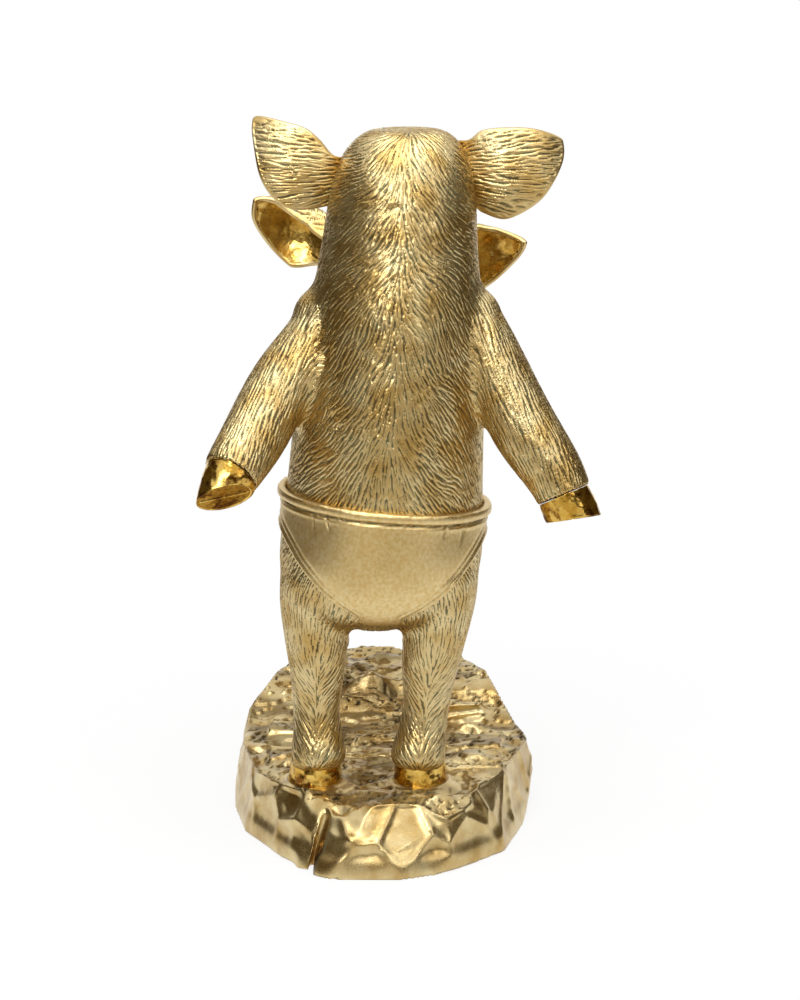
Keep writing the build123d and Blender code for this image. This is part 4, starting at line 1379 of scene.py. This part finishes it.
def crack_shade(points, quads):
    """How dark the walls of the crack are, told from their place before it is pinched."""
    shade = smooth_step(7.5, 4.0, np.abs(points[:, 0] - CRACK[0])) * smooth_step(-100, -104, points[:, 1])
    turned_away = np.abs(normals_of(points, quads)[:, 0]) < 0.9
    return shade * smooth_step(34, 26, points[:, 2]) * np.where(turned_away, 0.7, 1.0)


def hoof_distances(points):
    """How far each point lies from the nearest hind hoof's edge, seen from above."""
    nearest = np.full(len(points), 99.0)
    for place, half_width, half_depth, _, _ in HIND_HOOVES.values():
        reach = np.hypot(points[:, 0] - place[0], points[:, 1] - place[1])
        nearest = np.minimum(nearest, reach - (half_width + half_depth) / 2)
    return nearest


def layered(points, quads, top):
    """How far the rock's top rises over its casting, and how deeply each point lies in a crack.

    Noise combed along X is turned into steps, so that thin layers end in ragged lips, and the foot of each
    lip is cut into a crack. Round a hoof a wave of the distance from it makes ridges. Crumbs lie about.
    """
    hoof = hoof_distances(points)
    along = unit(np.tile([1.0, 0.18, 0.0], (len(points), 1)))
    wide = combed_noise(points * [1, 1, 0.3], along, LAYER_WIDTH, LAYER_LENGTH, 61)
    ragged = combed_noise(points * [1, 1, 0.3], along, 1.5, 5.0, 62)
    level = (wide + 0.15 * ragged) * 1.15
    step = np.floor(level)
    part = level - step
    stairs = step + smooth_step(0.0, 0.12, part) + 0.25 * part
    away = smooth_step(1.0, 9.0, hoof)
    inside = smooth_step(0.6, 0.97, averaged(top, quads, 12)) * top
    crack = bell(part, 0.12) * away * top * smooth_step(0.35, 0.5, value_noise(points, 12.0, 63))
    ring = np.sin(hoof * 2 * np.pi / RING_SPACING) * np.exp(-hoof / RING_REACH) * (hoof > 0)
    crumbs = np.maximum(value_noise(points, 2.4, 64) - 0.62, 0)
    crumbs = crumbs * smooth_step(0.5, 0.7, value_noise(points, 20.0, 65)) * away
    details = bpy.context.scene.pigpair_details
    lift = (stairs - 1.2) * details.layer_height * away + 2.0 * crumbs - details.layer_crack * crack
    return lift * inside + details.ring_height * ring * top, crack


def chipped(points):
    """How deep the rock's sides lie under their casting: facets, dents and scratches, least at the foot."""
    tilt = np.array([[0.94, 0, 0.34], [0, 1, 0], [-0.34, 0, 0.94]])
    scratch = value_noise(points * [1.0, 1.0, 2.5] @ tilt, 1.6, 68)
    depth = scooped(points) + 0.35 * value_noise(points, 8.0, 66) + 0.15 * value_noise(points, 2.5, 67)
    depth += 0.35 * smooth_step(0.62, 0.8, scratch) * smooth_step(0.5, 0.65, value_noise(points, 16.0, 69))
    return depth * (0.12 + 0.88 * smooth_step(4.0, 12.0, points[:, 2]))


def build_rock(grain):
    """The rock: its casting as one skin, layered and cracked on top and chipped into facets at the sides.

    The top rises along Z and the sides sink along their normals. All is relaxed, the sides and the foot
    more than the top, and the foot's edge is drawn down over the felt. The wash stays in cracks and hollows.
    """
    points, quads = joined_castings(["rock_base"], grain)
    points = relaxed(points, quads, np.full(len(points), 0.5), 3)
    split = crack_shade(points, quads)
    points = closed_crack(points)
    normals = normals_of(points, quads)
    top = smooth_step(0.55, 0.85, normals[:, 2]) * smooth_step(20, 26, points[:, 2])
    lift, crack = layered(points, quads, top)
    moved = points - normals * (chipped(points) * (1 - top))[:, None]
    moved[:, 2] += lift * top
    moved = relaxed(moved, quads, 0.5 - 0.45 * top, 3)
    moved = relaxed(moved, quads, 0.5 * smooth_step(8.0, 4.0, moved[:, 2]), 6)
    moved[:, 2] -= SKIRT_DROP * smooth_step(7.5, 2.0, moved[:, 2]) * smooth_step(-0.9, -0.7, normals[:, 2])
    moved[:, 2] = np.maximum(moved[:, 2], SKIRT_HEIGHT)
    hollow = averaged(moved[:, 2], quads, 5) - moved[:, 2]
    shade = 0.38 + 0.3 * smooth_step(0.3, 0.7, value_noise(points * [0.4, 1.0, 1.0], 7.0, 70))
    wash_and_shade = np.clip(crack + (smooth_step(0.6, 1.6, hollow) + shade) * top + split, 0, 1)
    place_piece("rock_base_stone", moved, [quads], "rock gold paint", ["rock_base"], wash_and_shade)


class PIGPAIR_OT_rock(bpy.types.Operator):
    """Models the rock that the pigs stand on"""

    bl_idname = "pigpair.rock"
    bl_label = "Rock"

    def execute(self, context):
        build_rock(ROCK_GRAIN * (1.0))
        return {"FINISHED"}


# Finish of a casting that is shown as it was built, by the first of these words in its name
CARRIED_FINISHES = [
    ("rod", "bare steel rod"),
    ("felt", "dark felt"),
    ("hoof", "polished gold plate"),
    ("snout", "polished gold plate"),
    ("lining", "polished gold plate"),
    ("rock", "rock gold paint"),
]


class PIGPAIR_OT_carried(bpy.types.Operator):
    """Gives every casting that is shown as it was built its finish"""

    bl_idname = "pigpair.carried"
    bl_label = "Carried castings"

    def execute(self, context):
        for name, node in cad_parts.items():
            if node.hide_render:
                continue
            fitting = [finish for word, finish in CARRIED_FINISHES if word in name]
            node.data.materials.clear()
            node.data.materials.append(finish_of((fitting + ["satin gold paint"])[0]))
        return {"FINISHED"}


# Stage
class PIGPAIR_OT_stage(bpy.types.Operator):
    """Sets up the white room, the softboxes and the camera of the photograph"""

    bl_idname = "pigpair.stage"
    bl_label = "Photo stage"

    def execute(self, context):
        settings = context.scene.pigpair_stage
        build_floor()
        build_world()
        build_lamps(settings.lamp_power)
        build_cards()
        build_camera(settings)
        context.scene.view_settings.view_transform = "Standard"
        return {"FINISHED"}


def seen_rays(tree):
    """1 for rays from the camera, from mirror-like surfaces or through glass, 0 for the rest."""
    path = add_node(tree, "ShaderNodeLightPath")
    seen = path.outputs["Is Camera Ray"]
    for kind in ("Is Glossy Ray", "Is Transmission Ray"):
        inputs = {0: seen, 1: path.outputs[kind]}
        seen = add_node(tree, "ShaderNodeMath", inputs, operation="MAXIMUM").outputs[0]
    return seen


def build_floor():
    """A white floor that looks white to the camera and still takes the figurine's shadow."""
    half = 3000.0
    mesh = bpy.data.meshes.new("stage_floor")
    corners = [(-half, -half, 0), (half, -half, 0), (half, half, 0), (-half, half, 0)]
    fill_mesh(mesh, corners, [[(0, 1, 2, 3)]])
    material, tree, output = new_material("white floor paper")
    paper = add_node(tree, "ShaderNodeBsdfPrincipled", {"Base Color": srgb("#FFFFFF"), "Roughness": 0.9})
    white = add_node(tree, "ShaderNodeEmission", {"Color": (1, 1, 1, 1), "Strength": 1.0})
    place = add_node(tree, "ShaderNodeTexCoord").outputs["Object"]
    reach = add_node(tree, "ShaderNodeVectorMath", {0: place}, operation="LENGTH").outputs["Value"]
    fade = {"Value": reach, "From Min": 0.15, "From Max": 0.35, "To Min": 0.86}
    share = add_node(tree, "ShaderNodeMapRange", fade).outputs["Result"]
    shown = add_node(tree, "ShaderNodeMath", {0: seen_rays(tree), 1: share}, operation="MULTIPLY").outputs[0]
    mix = add_node(tree, "ShaderNodeMixShader", {0: shown, 1: paper.outputs[0], 2: white.outputs[0]})
    tree.links.new(mix.outputs[0], output.inputs["Surface"])
    mesh.materials.append(material)
    floor = bpy.data.objects.new("stage_floor", mesh)
    bpy.context.scene.collection.objects.link(floor)


def build_world():
    """A room that is white to the camera and to mirrors and light grey to everything else."""
    world = bpy.data.worlds.new("white room")
    bpy.context.scene.world = world
    world.use_nodes = True
    tree = world.node_tree
    tree.nodes.clear()
    seen = seen_rays(tree)
    lit = add_node(tree, "ShaderNodeBackground", {"Color": (1, 1, 1, 1), "Strength": 0.6})
    white = add_node(tree, "ShaderNodeBackground", {"Color": (1, 1, 1, 1), "Strength": 1.0})
    mix = add_node(tree, "ShaderNodeMixShader", {0: seen, 1: lit.outputs[0], 2: white.outputs[0]})
    output = tree.nodes.new("ShaderNodeOutputWorld")
    tree.links.new(mix.outputs[0], output.inputs["Surface"])


# Softboxes: place and aim in millimetres, width and height in millimetres, share of the lamp power
SOFTBOXES = [
    ((-300, -1050, 760), (0, -68, 200), 420, 520, 1.2),
    ((640, -760, 560), (0, -68, 200), 320, 520, 0.32),
    ((0, -220, 900), (0, -68, 150), 600, 500, 0.9),
]


def build_lamps(power):
    """Softboxes round the figurine."""
    for i, (place, aim, width, height, share) in enumerate(SOFTBOXES):
        lamp = bpy.data.lights.new(f"softbox_{i}", "AREA")
        lamp.shape = "RECTANGLE"
        lamp.size, lamp.size_y = width * MM, height * MM
        lamp.energy = power * share
        box = bpy.data.objects.new(f"softbox_{i}", lamp)
        box.location = [length * MM for length in place]
        way = np.array(aim, float) - np.array(place, float)
        box.rotation_mode = "QUATERNION"
        box.rotation_quaternion = Vector(way).to_track_quat("-Z", "Y")
        bpy.context.scene.collection.objects.link(box)


# Dim cards: colour and corners. One stands behind the camera, one lies before it, two stand at the sides
CARDS = {
    "standing_card": (
        "#82775C", [(-1500, -1700, -10), (1500, -1700, -10), (1500, -1700, 700), (-1500, -1700, 700)]
    ),
    "lying_card": ("#DACEB0", [(-500, -1600, 4), (500, -1600, 4), (360, -420, 4), (-360, -420, 4)]),
    "left_card": ("#54482E", [(-760, -1400, -10), (-760, 900, -10), (-760, 900, 800), (-760, -1400, 800)]),
    "right_card": ("#54482E", [(860, -1400, -10), (860, 900, -10), (860, 900, 800), (860, -1400, 800)]),
}


def build_cards():
    """Dim cards, which metal mirrors and nothing else sees."""
    for name, (tint, corners) in CARDS.items():
        material, tree, output = new_material(name.replace("_", " "))
        shader = add_node(tree, "ShaderNodeEmission", {"Color": srgb(tint), "Strength": 1.0})
        tree.links.new(shader.outputs[0], output.inputs["Surface"])
        mesh = bpy.data.meshes.new(name)
        fill_mesh(mesh, corners, [[(0, 1, 2, 3)]])
        mesh.materials.append(material)
        card = bpy.data.objects.new(name, mesh)
        card.visible_camera = card.visible_diffuse = card.visible_shadow = False
        bpy.context.scene.collection.objects.link(card)


# Sensor width in millimetres, image height in pixels, and the point that the camera looks at in millimetres
SENSOR_WIDTH = 36.0
IMAGE_HEIGHT = 1000
CAMERA_AIM = (7.7, -68.0, 155.6)


def build_camera(settings):
    """The photograph's camera: level with the tall pig's belly, looking a little down at its back."""
    data = bpy.data.cameras.new("photo_camera")
    data.sensor_fit = "AUTO"
    data.sensor_width = SENSOR_WIDTH
    data.lens = SENSOR_WIDTH * settings.focal_pixels / IMAGE_HEIGHT
    data.clip_start, data.clip_end = 0.05, 20.0
    camera = bpy.data.objects.new("photo_camera", data)
    aim = np.array(CAMERA_AIM) * MM
    way = np.array([0, math.cos(settings.pitch), -math.sin(settings.pitch)])
    camera.location = aim - way * settings.distance
    camera.rotation_euler = (math.pi / 2 - settings.pitch, 0, 0)
    bpy.context.scene.collection.objects.link(camera)
    bpy.context.scene.camera = camera


class PIGPAIR_PT_panel(bpy.types.Panel):
    """Sidebar panel with the settings and the steps in order"""

    bl_idname = "PIGPAIR_PT_panel"
    bl_label = "Pig pair"
    bl_space_type = "VIEW_3D"
    bl_region_type = "UI"
    bl_category = "Pig pair"

    def draw(self, context):
        layout = self.layout
        scene = context.scene
        groups = scene.pigpair_skin, scene.pigpair_details, scene.pigpair_colours, scene.pigpair_stage
        for group in groups:
            box = layout.box()
            for setting in group.bl_rna.properties.keys():
                if setting not in ("rna_type", "name"):
                    box.prop(group, setting)
        for step in STEPS:
            layout.operator(step.bl_idname)


STEPS = [
    PIGPAIR_OT_skins,
    PIGPAIR_OT_ears,
    PIGPAIR_OT_bright,
    PIGPAIR_OT_briefs,
    PIGPAIR_OT_rock,
    PIGPAIR_OT_carried,
    PIGPAIR_OT_stage,
]
GROUPS = [PIGPAIR_PG_skin, PIGPAIR_PG_details, PIGPAIR_PG_colours, PIGPAIR_PG_stage]


def register():
    """Makes the settings, the steps and the panel known."""
    for cls in [*GROUPS, *STEPS, PIGPAIR_PT_panel]:
        bpy.utils.register_class(cls)
    bpy.types.Scene.pigpair_skin = PointerProperty(type=PIGPAIR_PG_skin)
    bpy.types.Scene.pigpair_details = PointerProperty(type=PIGPAIR_PG_details)
    bpy.types.Scene.pigpair_colours = PointerProperty(type=PIGPAIR_PG_colours)
    bpy.types.Scene.pigpair_stage = PointerProperty(type=PIGPAIR_PG_stage)


def unregister():
    """Takes the settings, the steps and the panel away again."""
    del bpy.types.Scene.pigpair_skin
    del bpy.types.Scene.pigpair_details
    del bpy.types.Scene.pigpair_colours
    del bpy.types.Scene.pigpair_stage
    for cls in reversed([*GROUPS, *STEPS, PIGPAIR_PT_panel]):
        bpy.utils.unregister_class(cls)


def main():
    """Runs the steps in order."""
    register()
    bpy.ops.pigpair.skins()
    bpy.ops.pigpair.ears()
    bpy.ops.pigpair.bright()
    bpy.ops.pigpair.briefs()
    bpy.ops.pigpair.rock()
    bpy.ops.pigpair.carried()
    bpy.ops.pigpair.stage()


if __name__ == "__main__":
    main()
